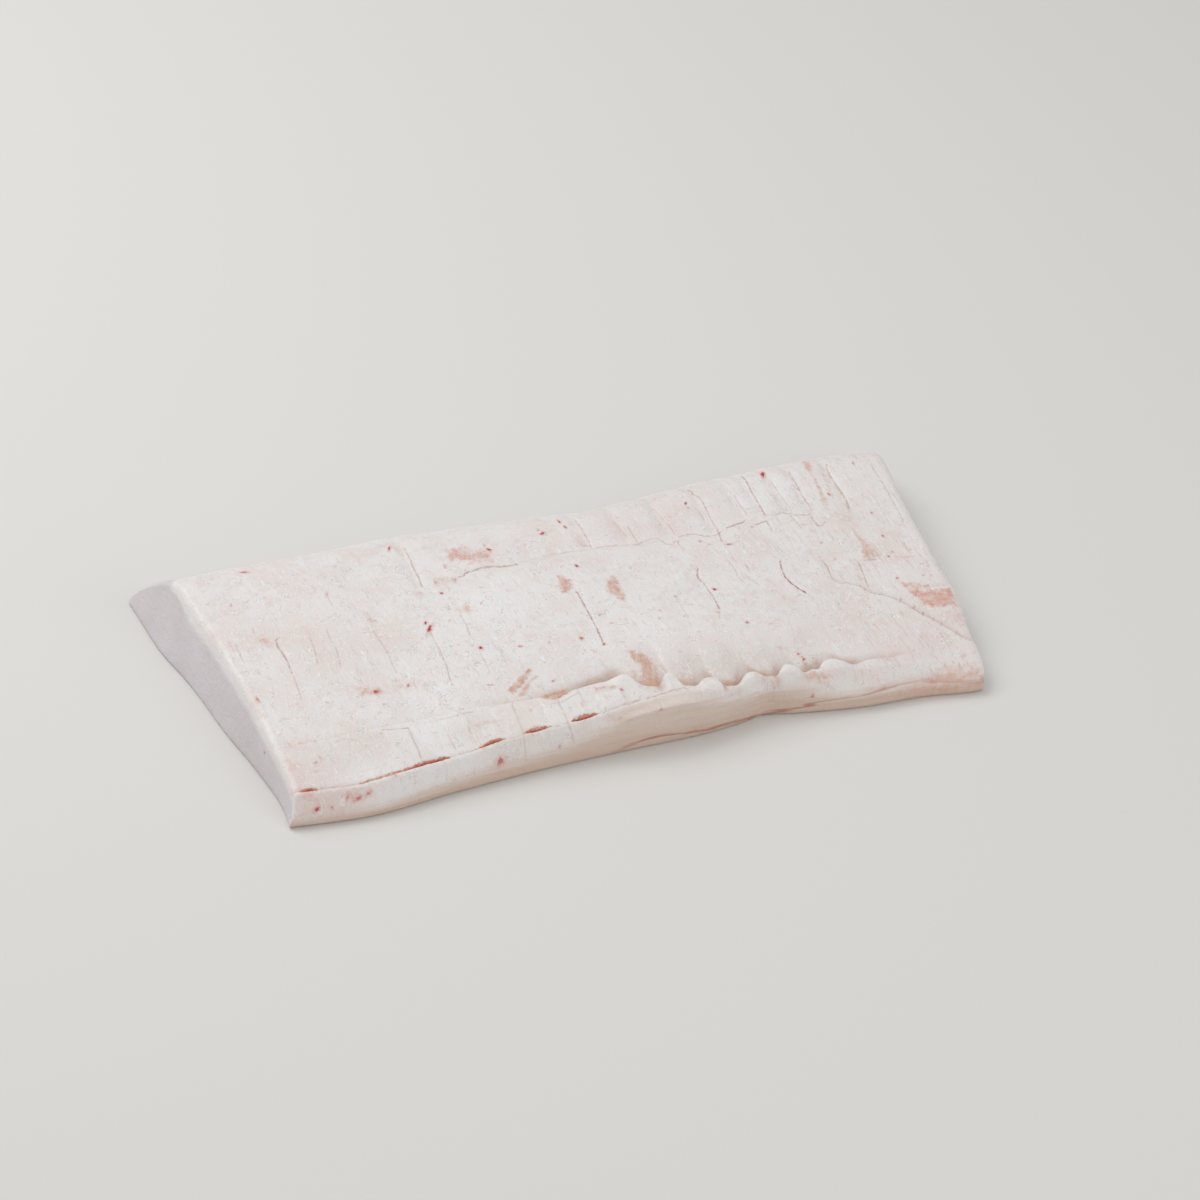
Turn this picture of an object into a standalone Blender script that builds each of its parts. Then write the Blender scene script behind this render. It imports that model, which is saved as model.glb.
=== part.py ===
"""A slab of raw pork fatback, cut square at both ends and laid with its inner side up.

The slab is one closed solid in metres, +Z up, with X along its length, from the left cut to
the right cut, and Y across it, from the front edge to the back edge. The origin is under the
middle of it, on the surface it rests on.

Its top is a grid of points. The rows run along the slab and follow the lines that the knife
and the bones left: the slit in the front shoulder, the crest of bone marks behind it, and the
seam that divides off the back strip. Rings of points below the grid's rim make the sides, and
one flat face closes the underside.
"""

import bmesh
import bpy
import numpy as np

# Driving dimensions, in metres.
SLAB_LENGTH = 0.508
SLAB_WIDTH = 0.245
BACK_THICKNESS = 0.037
RIGHT_END_THINNER = 0.0025

# The plan, as points of smooth curves: (x, y) along the front and the back.
FRONT_EDGE = (
    (-0.250, -0.1165), (-0.225, -0.1200), (-0.192, -0.1228), (-0.130, -0.1168),
    (-0.070, -0.1125), (-0.010, -0.1110), (0.040, -0.1100), (0.062, -0.1072),
    (0.078, -0.1043), (0.098, -0.1085), (0.140, -0.1155), (0.190, -0.1185),
    (0.208, -0.1218), (0.219, -0.1230), (0.240, -0.1215),
)
BACK_EDGE = (
    (-0.280, 0.1230), (-0.220, 0.1225), (-0.150, 0.1245), (-0.060, 0.1257),
    (0.030, 0.1190), (0.090, 0.1222), (0.150, 0.1282), (0.200, 0.1303), (0.270, 0.1295),
)
# The cuts, as (y, x) points: each one's foot or its upper edge. The left cut leans in.
LEFT_FOOT = (
    (-0.125, -0.2420), (-0.114, -0.2395), (-0.104, -0.2378), (-0.060, -0.2398), (-0.020, -0.2455),
    (0.020, -0.2484), (0.040, -0.2508), (0.064, -0.2554), (0.130, -0.2554),
)
LEFT_TOP = ((-0.125, -0.2345), (0.000, -0.2345), (0.050, -0.2368), (0.130, -0.2390))
RIGHT_TOP = (
    (-0.130, 0.2190), (-0.122, 0.2222), (-0.114, 0.2264), (-0.106, 0.2277), (-0.085, 0.2311),
    (-0.050, 0.2380), (-0.005, 0.2412), (0.040, 0.2477), (0.090, 0.2577), (0.130, 0.2620),
)
RIGHT_FOOT_OUT = 0.0015

# The top falls towards the front, less so along a low ridge right of the middle.
FRONT_FALL = 0.018
FALL_STARTS = 0.70
FALL_SPAN = 0.65
RIDGE_LIFT = 0.014
RIDGE_AT = 0.061
RIDGE_REACH = (0.152, 0.066)

# The rounded edges: how far each one reaches in from its side, and what is left upright.
LEFT_ROUND = 0.005
LEFT_ROUND_FALL = 0.14
RIGHT_ROUND = 0.008
RIGHT_ROUND_FALL = 0.20
CUT_ROUNDNESS = 2.0
FRONT_ROUNDNESS = 1.35
# The height of the upright part of the front side, as (x, height) points.
FRONT_UPRIGHT = (
    (-0.250, 0.0070), (-0.141, 0.0080), (-0.113, 0.0090), (-0.079, 0.0090),
    (-0.051, 0.0130), (-0.035, 0.0185), (-0.020, 0.0250), (0.000, 0.0280),
    (0.030, 0.0270), (0.051, 0.0220), (0.080, 0.0170), (0.100, 0.0135),
    (0.120, 0.0110), (0.150, 0.0100), (0.240, 0.0080),
)
# On the right the front's round reaches in past the line of the slit.
FRONT_REACHES_PAST = 0.0025
FRONT_REACHES_FROM = (0.030, 0.060)
BACK_BEVEL = 0.040
BACK_ROUNDNESS = 1.42
BACK_UPRIGHT = 0.005
FOOT_ROUND = 0.0020
# The slab rests within these corners, once round from the front left, with sides bowed in a little.
RESTING_CORNERS = (
    (-0.2380, -0.1160), (-0.1905, -0.1205), (0.2213, -0.1208), (0.2365, -0.0546),
    (0.2613, 0.1275), (-0.2530, 0.1207), (-0.2518, 0.0767),
)
RESTING_BOW = 0.0005

# The lines along the top, as (x, y) points from left to right.
SLIT_PATH = (
    (-0.240, -0.1080), (-0.192, -0.1120), (-0.134, -0.1080), (-0.098, -0.1045),
    (-0.045, -0.1040), (0.000, -0.1005), (0.024, -0.1012), (0.040, -0.1030),
    (0.056, -0.1047), (0.068, -0.1034), (0.080, -0.1018), (0.104, -0.1026),
    (0.130, -0.1040), (0.200, -0.1080), (0.240, -0.1100),
)
# The crest: level with the tiles on the left, and bays between knuckles on the right.
CREST_PATH = (
    (-0.24, -0.0770), (-0.1, -0.0770), (-0.055, -0.0800), (-0.015, -0.0790), (-0.008, -0.0800),
    (-0.002, -0.0840), (0.006, -0.0885), (0.0122, -0.0890), (0.0145, -0.0880), (0.0215, -0.0890),
    (0.0243, -0.0950), (0.028, -0.0970), (0.0334, -0.0980), (0.0352, -0.0970), (0.0386, -0.0955),
    (0.0432, -0.0955), (0.0471, -0.0970), (0.0494, -0.1005), (0.054, -0.1023), (0.0596, -0.1018),
    (0.062, -0.1000), (0.0667, -0.0970), (0.0715, -0.0965), (0.0758, -0.0980), (0.0776, -0.0995),
    (0.0823, -0.0998), (0.0879, -0.0993), (0.09, -0.0975), (0.0927, -0.0955), (0.0983, -0.0950),
    (0.1034, -0.0960), (0.106, -0.0980), (0.1117, -0.0985), (0.1174, -0.0980), (0.1198, -0.0960),
    (0.1247, -0.0950), (0.1336, -0.0970), (0.1396, -0.0990), (0.146, -0.0985), (0.152, -0.0975),
    (0.158, -0.0975), (0.166, -0.0980), (0.176, -0.0970), (0.24, -0.0970),
)
SEAM_PATH = (
    (-0.240, 0.0440), (-0.070, 0.0410), (-0.050, 0.0465), (-0.030, 0.0440),
    (0.010, 0.0480), (0.057, 0.0420), (0.090, 0.0440), (0.110, 0.0385),
    (0.130, 0.0455), (0.161, 0.0475), (0.180, 0.0380), (0.240, 0.0350),
)
CRACK_PATH = (
    (0.164, -0.026), (0.178, -0.033), (0.196, -0.051), (0.210, -0.071), (0.226, -0.095),
)

# The slit stands open along these stretches of X, each this deep, and elsewhere is a crease.
SLIT_OPENINGS = (
    (-0.231, -0.218, 0.0025), (-0.194, -0.134, 0.0035), (-0.117, -0.097, 0.0035),
    (-0.085, -0.068, 0.0045), (-0.054, -0.035, 0.0050),
)
SLIT_CREASE = 0.0005
SLIT_HALF_WIDTH = 0.0012
SLIT_NARROWS_TO = 0.0005
SLIT_FADES = (0.030, 0.060)

# On the left the crest is a row of tiles of fat that stop at a step.
TILE_STEP = 0.0012
TILE_STEP_WIDTH = 0.003
TILE_STEP_FADES_OVER = 0.020
TILES_END = (-0.020, 0.010)

# On the right each bone left a knuckle of fat on the crest, as (x, height above the top) points.
CREST_HEIGHT = (
    (-0.02, 0.0000), (-0.007, 0.0030), (0.0017, -0.0027), (0.0077, -0.0030), (0.0126, -0.0023),
    (0.0143, 0.0021), (0.0173, 0.0036), (0.0215, 0.0022), (0.0243, -0.0007), (0.028, -0.0012),
    (0.0334, -0.0017), (0.0352, -0.0008), (0.0386, -0.0003), (0.0432, -0.0006), (0.0471, -0.0017),
    (0.0494, -0.0040), (0.054, -0.0044), (0.0596, -0.0046), (0.062, -0.0038), (0.0667, -0.0011),
    (0.0715, -0.0007), (0.0758, -0.0018), (0.0776, -0.0026), (0.0823, -0.0025), (0.0879, -0.0026),
    (0.09, -0.0008), (0.0927, 0.0009), (0.0983, 0.0013), (0.1034, -0.0006), (0.106, -0.0024),
    (0.1117, -0.0005), (0.1174, -0.0003), (0.1198, 0.0012), (0.1247, 0.0030), (0.1336, 0.0027),
    (0.1396, 0.0008), (0.146, 0.0007), (0.152, 0.0009), (0.158, 0.0006), (0.166, 0.0000),
    (0.185, 0.0000),
)
CREST_REACH = 0.007
# The loin left a trough behind the crest, as (x, depth) points.
TROUGH_DEPTH = (
    (-0.090, 0.0000), (-0.060, 0.0015), (-0.030, 0.0035), (0.000, 0.0055), (0.028, 0.0055),
    (0.054, 0.0078), (0.079, 0.0064), (0.096, 0.0048), (0.112, 0.0042), (0.128, 0.0030),
    (0.140, 0.0020), (0.152, 0.0011), (0.166, 0.0005), (0.190, 0.0000),
)
TROUGH_WALL = 0.0024
TROUGH_RISES = (0.002, 0.040)

# The seam is a crease, and the strip behind it is scored from front to back.
SEAM_DEPTH = 0.0012
SEAM_HALF_WIDTH = 0.0020
SEAM_STARTS = (-0.100, -0.070)
SEAM_ENDS = (0.185, 0.205)
GROOVES_BEHIND_SEAM = (-0.090, 0.028, 0.055, 0.084, 0.114, 0.139, 0.152, 0.170, 0.185, 0.212)
GROOVE_DEPTH = 0.0010
GROOVE_HALF_WIDTH = 0.0035
GROOVE_LEAN = 0.10
GROOVES_AT_Y = 0.090

# The corner beyond the crack at the right lies a step lower.
CRACK_STEP = 0.0018
CRACK_WALL = 0.004
CRACK_RISES_OVER = 0.050
CRACK_STARTS = (0.160, 0.166)

# Slow waves a few centimetres long, as a soft slab has: height, and turns per metre.
UNEVENNESS = 0.0006
WAVE = (61.0, 57.0, 23.0)
RIPPLE = (131.0, -48.0, 35.0, 97.0)
RELIEF_MARGIN_FRONT = 0.006
RELIEF_MARGIN_BACK = 0.012

# Columns of points along the slab, and rows across it as (line, offset, steps, spacing),
# each giving where a band of rows ends. Spacing is even, or closes up as at an arc's end.
COLUMNS = 128
END_COLUMNS = 2
ROWS = (
    ("slit", -0.0012, 3, "even"), ("slit", 0.0, 1, "even"), ("slit back", 0.0, 1, "even"),
    ("crest", 0.0, 4, "even"), ("crest", 0.0024, 1, "even"), ("crest", 0.0060, 1, "even"),
    ("seam", -0.0020, 14, "even"), ("seam", 0.0, 1, "even"), ("seam", 0.0020, 1, "even"),
    ("bevel", 0.0, 4, "even"), ("back", 0.0, 6, "arc end"),
)
SIDE_RINGS = 3
SETTLING_ROUNDS = 4

FAT_WHITE = (0.78, 0.73, 0.70, 1.0)
MOIST_ROUGHNESS = 0.45


def swell(t):
    """A soft hump: one at t = 0, and close to nothing past t = 2."""
    return np.exp(-t * t)


def ease(at, span):
    """A soft ramp from zero where the span starts to one where it ends."""
    t = np.clip((at - span[0]) / (span[1] - span[0]), 0.0, 1.0)
    return t * t * (3.0 - 2.0 * t)


def lopsided_swell(x, peak, reach):
    """A hump that falls away over a different reach on each side."""
    return swell((x - peak) / np.where(x < peak, reach[0], reach[1]))


def along(at, path):
    """A smooth curve through a path's points: the second coordinate, given the first."""
    knots, values = np.array(path).T
    slopes = np.gradient(values, knots)
    at = np.clip(at, knots[0], knots[-1])
    k = np.clip(np.searchsorted(knots, at) - 1, 0, len(knots) - 2)
    span = knots[k + 1] - knots[k]
    t = (at - knots[k]) / span
    ends = values[k] + (values[k + 1] - values[k]) * t * t * (3.0 - 2.0 * t)
    return ends + span * t * (1.0 - t) * (slopes[k] * (1.0 - t) - slopes[k + 1] * t)


def right_foot(y):
    """The foot of the right cut, a little outside its upper edge."""
    return along(y, RIGHT_TOP) + RIGHT_FOOT_OUT


def thickness(x, y):
    """The slab's height before its edges are rounded: full at the back, falling to the front."""
    full = BACK_THICKNESS - RIGHT_END_THINNER * ease(x / SLAB_LENGTH, (-0.4, 0.4))
    lift = RIDGE_LIFT * lopsided_swell(x, RIDGE_AT, RIDGE_REACH)
    ahead = np.maximum((FALL_STARTS - 0.5 - y / SLAB_WIDTH) / FALL_SPAN, 0.0)
    return full - (FRONT_FALL - lift) * ahead ** 2


def edge_fall(distance, reach, roundness):
    """How much of an edge's fall is left at a distance from its side, from one to nothing.

    The edge is a superellipse: x^n + z^n = 1, with n = roundness.
    """
    t = np.clip(1.0 - distance / reach, 0.0, 1.0)
    return 1.0 - (1.0 - t ** roundness) ** (1.0 / roundness)


def slit_half_width(x):
    """Half the slit's width, which shrinks where the slit fades."""
    return SLIT_HALF_WIDTH + (SLIT_NARROWS_TO - SLIT_HALF_WIDTH) * ease(x, SLIT_FADES)


def slit_depth(x, y):
    """The slit: a sharp groove, deep where it stands open."""
    depth = SLIT_CREASE * (1.0 - ease(x, SLIT_FADES))
    for start, end, open_depth in SLIT_OPENINGS:
        middle = 0.5 * (start + end)
        half = 0.5 * (end - start)
        depth = depth + open_depth * np.sqrt(np.clip(1.0 - ((x - middle) / half) ** 2, 0.0, 1.0))
    off_line = np.abs(y - along(x, SLIT_PATH))
    return depth * np.clip(1.0 - off_line / slit_half_width(x), 0.0, 1.0)


def crest_relief(x, y):
    """The crest: tiles that stop at a step on the left, knuckles and a trough on the right."""
    behind = y - along(x, CREST_PATH)
    step = ease(behind, (0.0, TILE_STEP_WIDTH))
    step = step * (1.0 - ease(behind - TILE_STEP_WIDTH, (0.0, TILE_STEP_FADES_OVER)))
    tiles = TILE_STEP * step * (1.0 - ease(x, TILES_END))

    fallen = ease(behind, (0.0, TROUGH_WALL))
    trough = along(x, TROUGH_DEPTH) * fallen * (1.0 - ease(behind, TROUGH_RISES))
    in_front = np.minimum(behind, 0.0) / CREST_REACH
    knuckles = along(x, CREST_HEIGHT) * swell(in_front) * (1.0 - fallen)
    return knuckles - trough - tiles


def seam_relief(x, y):
    """The seam: a crease, with the back strip behind it scored by shallow grooves."""
    behind = y - along(x, SEAM_PATH)
    shown = ease(x, SEAM_STARTS) * (1.0 - ease(x, SEAM_ENDS))
    crease = SEAM_DEPTH * shown * np.clip(1.0 - np.abs(behind) / SEAM_HALF_WIDTH, 0.0, 1.0)
    leaning = x + GROOVE_LEAN * (GROOVES_AT_Y - y)
    grooves = sum(swell((leaning - at) / GROOVE_HALF_WIDTH) for at in GROOVES_BEHIND_SEAM)
    scored = ease(behind, (0.0, RELIEF_MARGIN_FRONT))
    return -crease - GROOVE_DEPTH * np.minimum(grooves, 1.0) * scored


def crack_relief(x, y):
    """The crack at the right: the corner beyond it lies a step lower."""
    beyond = y - along(x, CRACK_PATH)
    drop = ease(beyond, (0.0, CRACK_WALL)) * (1.0 - ease(beyond, (0.0, CRACK_RISES_OVER)))
    return -CRACK_STEP * drop * ease(x, CRACK_STARTS)


def uneven(x, y):
    """Slow waves over the whole top."""
    waves = np.sin(WAVE[0] * x + 2.0 * np.sin(WAVE[2] * y)) * np.cos(WAVE[1] * y)
    ripple = np.sin(RIPPLE[0] * x + RIPPLE[1] * y) * np.sin(RIPPLE[2] * x + RIPPLE[3] * y)
    return UNEVENNESS * (waves + 0.5 * ripple)


def section_height(x, y):
    """The top's height with the front and back edges rounded, but not the two cuts."""
    full = thickness(x, y)
    from_front = y - along(x, FRONT_EDGE)
    from_back = along(x, BACK_EDGE) - y
    relief = crest_relief(x, y) + seam_relief(x, y) + crack_relief(x, y) + uneven(x, y)
    relief = relief - slit_depth(x, y)
    inside = ease(from_front, (0.0, RELIEF_MARGIN_FRONT))
    inside = inside * ease(from_back, (0.0, RELIEF_MARGIN_BACK))
    front_reach = along(x, SLIT_PATH) - along(x, FRONT_EDGE)
    front_reach = front_reach + FRONT_REACHES_PAST * ease(x, FRONT_REACHES_FROM)
    front = edge_fall(from_front, front_reach, FRONT_ROUNDNESS)
    front = (1.0 - along(x, FRONT_UPRIGHT) / full) * front
    back = (1.0 - BACK_UPRIGHT / full) * edge_fall(from_back, BACK_BEVEL, BACK_ROUNDNESS)
    return (full + relief * inside) * (1.0 - front) * (1.0 - back)


def line_at(name, x):
    """The y, at x, of one of the lines that the rows follow."""
    if name == "bevel":
        return along(x, BACK_EDGE) - BACK_BEVEL
    if name == "slit back":
        return along(x, SLIT_PATH) + slit_half_width(x)
    paths = {
        "front": FRONT_EDGE, "slit": SLIT_PATH, "crest": CREST_PATH, "seam": SEAM_PATH,
        "back": BACK_EDGE,
    }
    return along(x, paths[name])


def row_plan():
    """Each row as (line before, its offset, line after, its offset, how far between them)."""
    plan = [("front", 0.0, "front", 0.0, 0.0)]
    before, before_offset = "front", 0.0
    for line, offset, steps, spacing in ROWS:
        for t in np.arange(1, steps + 1) / steps:
            if spacing == "arc end":
                t = np.sin(0.5 * np.pi * t)
            plan.append((before, before_offset, line, offset, t))
        before, before_offset = line, offset
    return plan


def row_positions(x):
    """The y of every point, for x as an array of columns by rows."""
    y = np.empty_like(x)
    for row, (before, before_offset, after, after_offset, t) in enumerate(row_plan()):
        start = line_at(before, x[:, row]) + before_offset
        end = line_at(after, x[:, row]) + after_offset
        y[:, row] = start + (end - start) * t
    return y


def column_fractions():
    """Where the columns stand along the slab, from 0 to 1, closer together at the two cuts."""
    arc = 1.0 - np.cos(0.5 * np.pi * np.arange(END_COLUMNS + 1) / END_COLUMNS)
    left = arc * LEFT_ROUND / SLAB_LENGTH
    right = 1.0 - arc[::-1] * RIGHT_ROUND / SLAB_LENGTH
    middle = np.linspace(left[-1], right[0], COLUMNS - 2 * END_COLUMNS + 1)
    return np.concatenate([left[:-1], middle, right[1:]])


def top_sheet():
    """The points of the top, as an array of columns by rows by three.

    Each column leans from the left cut's slant to the right cut's, and each end of the sheet
    lies in its cut's leaning plane. The rows follow lines given over x, and the columns' ends
    follow cuts given over y, so the two are worked out in turn until they agree.
    """
    fraction = column_fractions()[:, None]
    x = np.repeat(SLAB_LENGTH * (fraction - 0.5), len(row_plan()), axis=1)
    for _ in range(SETTLING_ROUNDS):
        y = row_positions(x)
        height = section_height(x, y) / thickness(x, y)
        left = along(y, LEFT_FOOT) * (1.0 - height) + along(y, LEFT_TOP) * height
        right = right_foot(y) * (1.0 - height) + along(y, RIGHT_TOP) * height
        left, right = left[0], right[-1]
        x = left + (right - left) * fraction
    left_fall = LEFT_ROUND_FALL * edge_fall(x - left, LEFT_ROUND, CUT_ROUNDNESS)
    right_fall = RIGHT_ROUND_FALL * edge_fall(right - x, RIGHT_ROUND, CUT_ROUNDNESS)
    z = section_height(x, y) * (1.0 - left_fall) * (1.0 - right_fall)
    return np.stack([x, y, z], axis=-1)


def rim_order(columns, rows):
    """The rim of the grid, once round, as (column, row, outward x, outward y)."""
    front = [(i, 0, 0, -1) for i in range(1, columns - 1)]
    right = [(columns - 1, j, 1, 0) for j in range(1, rows - 1)]
    back = [(i, rows - 1, 0, 1) for i in range(columns - 2, 0, -1)]
    left = [(0, j, -1, 0) for j in range(rows - 2, 0, -1)]
    corners = [
        (0, 0, -1, -1), (columns - 1, 0, 1, -1),
        (columns - 1, rows - 1, 1, 1), (0, rows - 1, -1, 1),
    ]
    return np.array(
        [corners[0]] + front + [corners[1]] + right + [corners[2]] + back + [corners[3]] + left
    )


def draw_in(ring):
    """Draw the lowest ring in to the resting outline, so that its bulges lift off the floor."""
    ring = ring.copy()
    corners = np.array(RESTING_CORNERS)
    for start, end in zip(corners, np.roll(corners, -1, axis=0)):
        length = np.hypot(*(end - start))
        way = (end - start) / length
        inward = np.array([-way[1], way[0]])
        t = np.clip((ring[:, :2] - start) @ way / length, 0.0, 1.0)
        depth = (ring[:, :2] - start) @ inward - RESTING_BOW * 4.0 * t * (1.0 - t)
        ring[:, :2] -= np.minimum(depth, 0.0)[:, None] * inward
    for corner in corners:
        nearest = np.argmin(np.hypot(*(ring[:, :2] - corner).T))
        ring[nearest, :2] = corner
    return ring


def side_rings(sheet):
    """Rings of points from the rim down to the underside, with a small round at the foot.

    At the foot each ring shrinks towards the middle, so that its corners don't fold over.
    """
    order = rim_order(*sheet.shape[:2])
    rim = sheet[order[:, 0], order[:, 1]]
    outward = order[:, 2:].astype(float)
    y = rim[:, 1]
    lean = np.where(outward[:, 0] < 0, along(y, LEFT_FOOT) - along(y, LEFT_TOP), 0.0)
    lean = np.where(outward[:, 0] > 0, RIGHT_FOOT_OUT, lean)
    lean = lean / thickness(rim[:, 0], y)
    down = np.arange(1, SIDE_RINGS + 1) / SIDE_RINGS
    round_off = FOOT_ROUND * (1.0 - np.sqrt(0.5))
    levels = [rim[:, 2] + (FOOT_ROUND - rim[:, 2]) * t for t in down]
    levels += [np.full(len(rim), round_off), np.zeros(len(rim))]
    insets = [0.0] * SIDE_RINGS + [round_off, FOOT_ROUND]
    lowest, highest = rim[:, :2].min(axis=0), rim[:, :2].max(axis=0)
    from_middle = (2.0 * rim[:, :2] - lowest - highest) / (highest - lowest)
    rings = []
    for level, inset in zip(levels, insets):
        ring = rim.copy()
        ring[:, 0] += lean * (rim[:, 2] - level)
        ring[:, :2] -= inset * from_middle
        ring[:, 2] = level
        rings.append(ring)
    rings[-1] = draw_in(rings[-1])
    return order, rings


def build_slab():
    """Make the mesh: the sheet's grid, the rings round it and the flat underside."""
    sheet = top_sheet()
    columns, rows = sheet.shape[:2]
    order, rings = side_rings(sheet)
    points = np.concatenate([sheet.reshape(-1, 3)] + rings)
    middle = 0.5 * (points.min(axis=0) + points.max(axis=0))
    points[:, :2] -= middle[:2]

    mesh = bmesh.new()
    verts = [mesh.verts.new(point) for point in points]
    for i in range(columns - 1):
        for j in range(rows - 1):
            a = i * rows + j
            mesh.faces.new([verts[k] for k in (a, a + rows, a + rows + 1, a + 1)])
    upper = [verts[i * rows + j] for i, j in order[:, :2]]
    start = columns * rows
    for ring in rings:
        lower = verts[start:start + len(ring)]
        start += len(ring)
        for k in range(len(ring)):
            n = (k + 1) % len(ring)
            mesh.faces.new([upper[n], upper[k], lower[k], lower[n]])
        upper = lower
    mesh.faces.new(list(reversed(upper)))
    bmesh.ops.recalc_face_normals(mesh, faces=mesh.faces)
    return mesh


def fat_material():
    """Raw back fat: warm white, with the soft shine of a moist cut."""
    material = bpy.data.materials.new("raw fat")
    material.use_nodes = True
    shader = material.node_tree.nodes["Principled BSDF"]
    shader.inputs["Base Color"].default_value = FAT_WHITE
    shader.inputs["Roughness"].default_value = MOIST_ROUGHNESS
    shader.inputs["Metallic"].default_value = 0.0
    return material


def main():
    for item in list(bpy.data.objects):
        bpy.data.objects.remove(item, do_unlink=True)
    mesh = build_slab()
    data = bpy.data.meshes.new("fatback")
    mesh.to_mesh(data)
    mesh.free()
    data.materials.append(fat_material())
    data.shade_smooth()
    slab = bpy.data.objects.new("fatback", data)
    bpy.context.scene.collection.objects.link(slab)


main()
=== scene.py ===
# %% [markdown]
# # A slab of raw pork fatback
# Back fat is the thick layer of fat from a pig's back. This slab has been trimmed square and
# lies with its inner side up, so it shows what the knife and the bones left there: a slit along
# the front shoulder, a scalloped crest where the bones lay, a seam, knife lines, thin films of
# meat and small spots of blood.
#
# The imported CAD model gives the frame: one solid, `fatback`. It has the whole form, but with
# faces a few millimetres wide. Here the same form is worked out again on a much finer grid, so
# the finer things have room in the mesh, and that piece stands for the solid.

import bpy
import numpy as np
from mathutils import Matrix, Vector


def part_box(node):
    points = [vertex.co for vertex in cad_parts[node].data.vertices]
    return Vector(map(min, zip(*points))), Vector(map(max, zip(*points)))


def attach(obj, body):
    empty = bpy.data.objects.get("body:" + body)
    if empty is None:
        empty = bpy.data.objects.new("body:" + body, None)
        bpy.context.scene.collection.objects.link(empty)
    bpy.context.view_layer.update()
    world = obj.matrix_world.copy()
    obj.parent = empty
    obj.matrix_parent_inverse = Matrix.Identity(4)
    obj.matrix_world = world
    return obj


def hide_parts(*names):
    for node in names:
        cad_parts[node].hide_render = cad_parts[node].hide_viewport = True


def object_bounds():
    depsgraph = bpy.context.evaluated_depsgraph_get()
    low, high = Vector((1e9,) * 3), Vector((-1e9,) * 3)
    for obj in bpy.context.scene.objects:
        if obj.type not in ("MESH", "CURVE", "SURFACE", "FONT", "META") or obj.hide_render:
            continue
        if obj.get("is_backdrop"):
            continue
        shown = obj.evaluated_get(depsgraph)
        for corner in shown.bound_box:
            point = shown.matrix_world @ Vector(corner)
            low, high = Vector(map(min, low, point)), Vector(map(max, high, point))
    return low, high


MM_PER_METRE = 1000.0

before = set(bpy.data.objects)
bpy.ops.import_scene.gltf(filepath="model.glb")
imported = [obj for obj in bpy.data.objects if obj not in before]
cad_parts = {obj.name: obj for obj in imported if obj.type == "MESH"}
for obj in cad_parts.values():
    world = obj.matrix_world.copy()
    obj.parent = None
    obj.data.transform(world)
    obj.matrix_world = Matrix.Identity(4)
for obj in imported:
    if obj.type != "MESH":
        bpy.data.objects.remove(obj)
cad_box = [[float(v) for v in corner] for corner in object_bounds()]
low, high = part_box("fatback")
print("CAD box in mm:", [round(MM_PER_METRE * (h - l), 1) for l, h in zip(low, high)])

# %% [markdown]
# ## Camera
# The slab is seen from its front left, with the camera tipped down and turned a little about
# its own axis. A long lens from almost three metres away keeps the edges nearly parallel. A
# track quaternion points the camera, and one more turn about its own Z axis gives the roll.

# %% Camera
CAMERA_AT = Vector((-1.05857, -2.03282, 1.65355))
CAMERA_LOOKS_AT = Vector((0.02725, 0.03498, 0.0))
CAMERA_ROLL = np.radians(6.07)
FOCAL_LENGTH = 135.157
SENSOR_WIDTH = 36.0
SEES_TO = 20.0

lens = bpy.data.cameras.new("camera")
lens.lens = FOCAL_LENGTH
lens.sensor_width = SENSOR_WIDTH
lens.clip_end = SEES_TO
camera = bpy.data.objects.new("camera", lens)
bpy.context.scene.collection.objects.link(camera)
aim = (CAMERA_LOOKS_AT - CAMERA_AT).to_track_quat("-Z", "Y").to_matrix().to_4x4()
camera.matrix_world = Matrix.Translation(CAMERA_AT) @ aim @ Matrix.Rotation(CAMERA_ROLL, 4, "Z")
bpy.context.scene.camera = camera
print("camera is", round((CAMERA_LOOKS_AT - CAMERA_AT).length, 2), "m away")

# %% [markdown]
# ## Curves and ramps
# The whole form is given by a few curves drawn through points, as a butcher's chart would be.
# `along` is a cubic Hermite curve: between two knots it keeps their heights and their slopes.
# Soft steps and soft humps do the rest. Everything is in millimetres here, and becomes metres
# only when the mesh is made.

# %% Curves and ramps


def swell(t):
    """A soft hump: e to the power of minus t squared."""
    return np.exp(-t * t)


def ease(at, span):
    """A soft ramp from 0 to 1 over a span: 3t^2 - 2t^3, with t held between 0 and 1."""
    t = np.clip((at - span[0]) / (span[1] - span[0]), 0.0, 1.0)
    return t * t * (3.0 - 2.0 * t)


def lopsided_swell(x, peak, reach):
    """A hump that falls away over a different reach on each side of its peak."""
    return swell((x - peak) / np.where(x < peak, reach[0], reach[1]))


def along(at, path):
    """A smooth curve through a path's points: cubic Hermite pieces with centred slopes."""
    knots, values = np.array(path, float).T
    slopes = np.gradient(values, knots)
    at = np.clip(at, knots[0], knots[-1])
    k = np.clip(np.searchsorted(knots, at) - 1, 0, len(knots) - 2)
    span = knots[k + 1] - knots[k]
    t = (at - knots[k]) / span
    ends = values[k] + (values[k + 1] - values[k]) * t * t * (3.0 - 2.0 * t)
    return ends + span * t * (1.0 - t) * (slopes[k] * (1.0 - t) - slopes[k + 1] * t)


def polyline(at, path):
    """Straight pieces between a path's points, for edges that are ragged."""
    knots, values = np.array(path, float).T
    return np.interp(at, knots, values)


print("half way up a ramp:", ease(np.array(0.5), (0.0, 1.0)))

# %% [markdown]
# ## The slab's outline and thickness
# X runs along the slab and Y across it, from the front edge to the back edge. The front edge
# wanders, the left cut leans in, and the right cut stands askew. The slab is full at the back
# and thins towards the front, except along a low ridge right of the middle.

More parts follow.
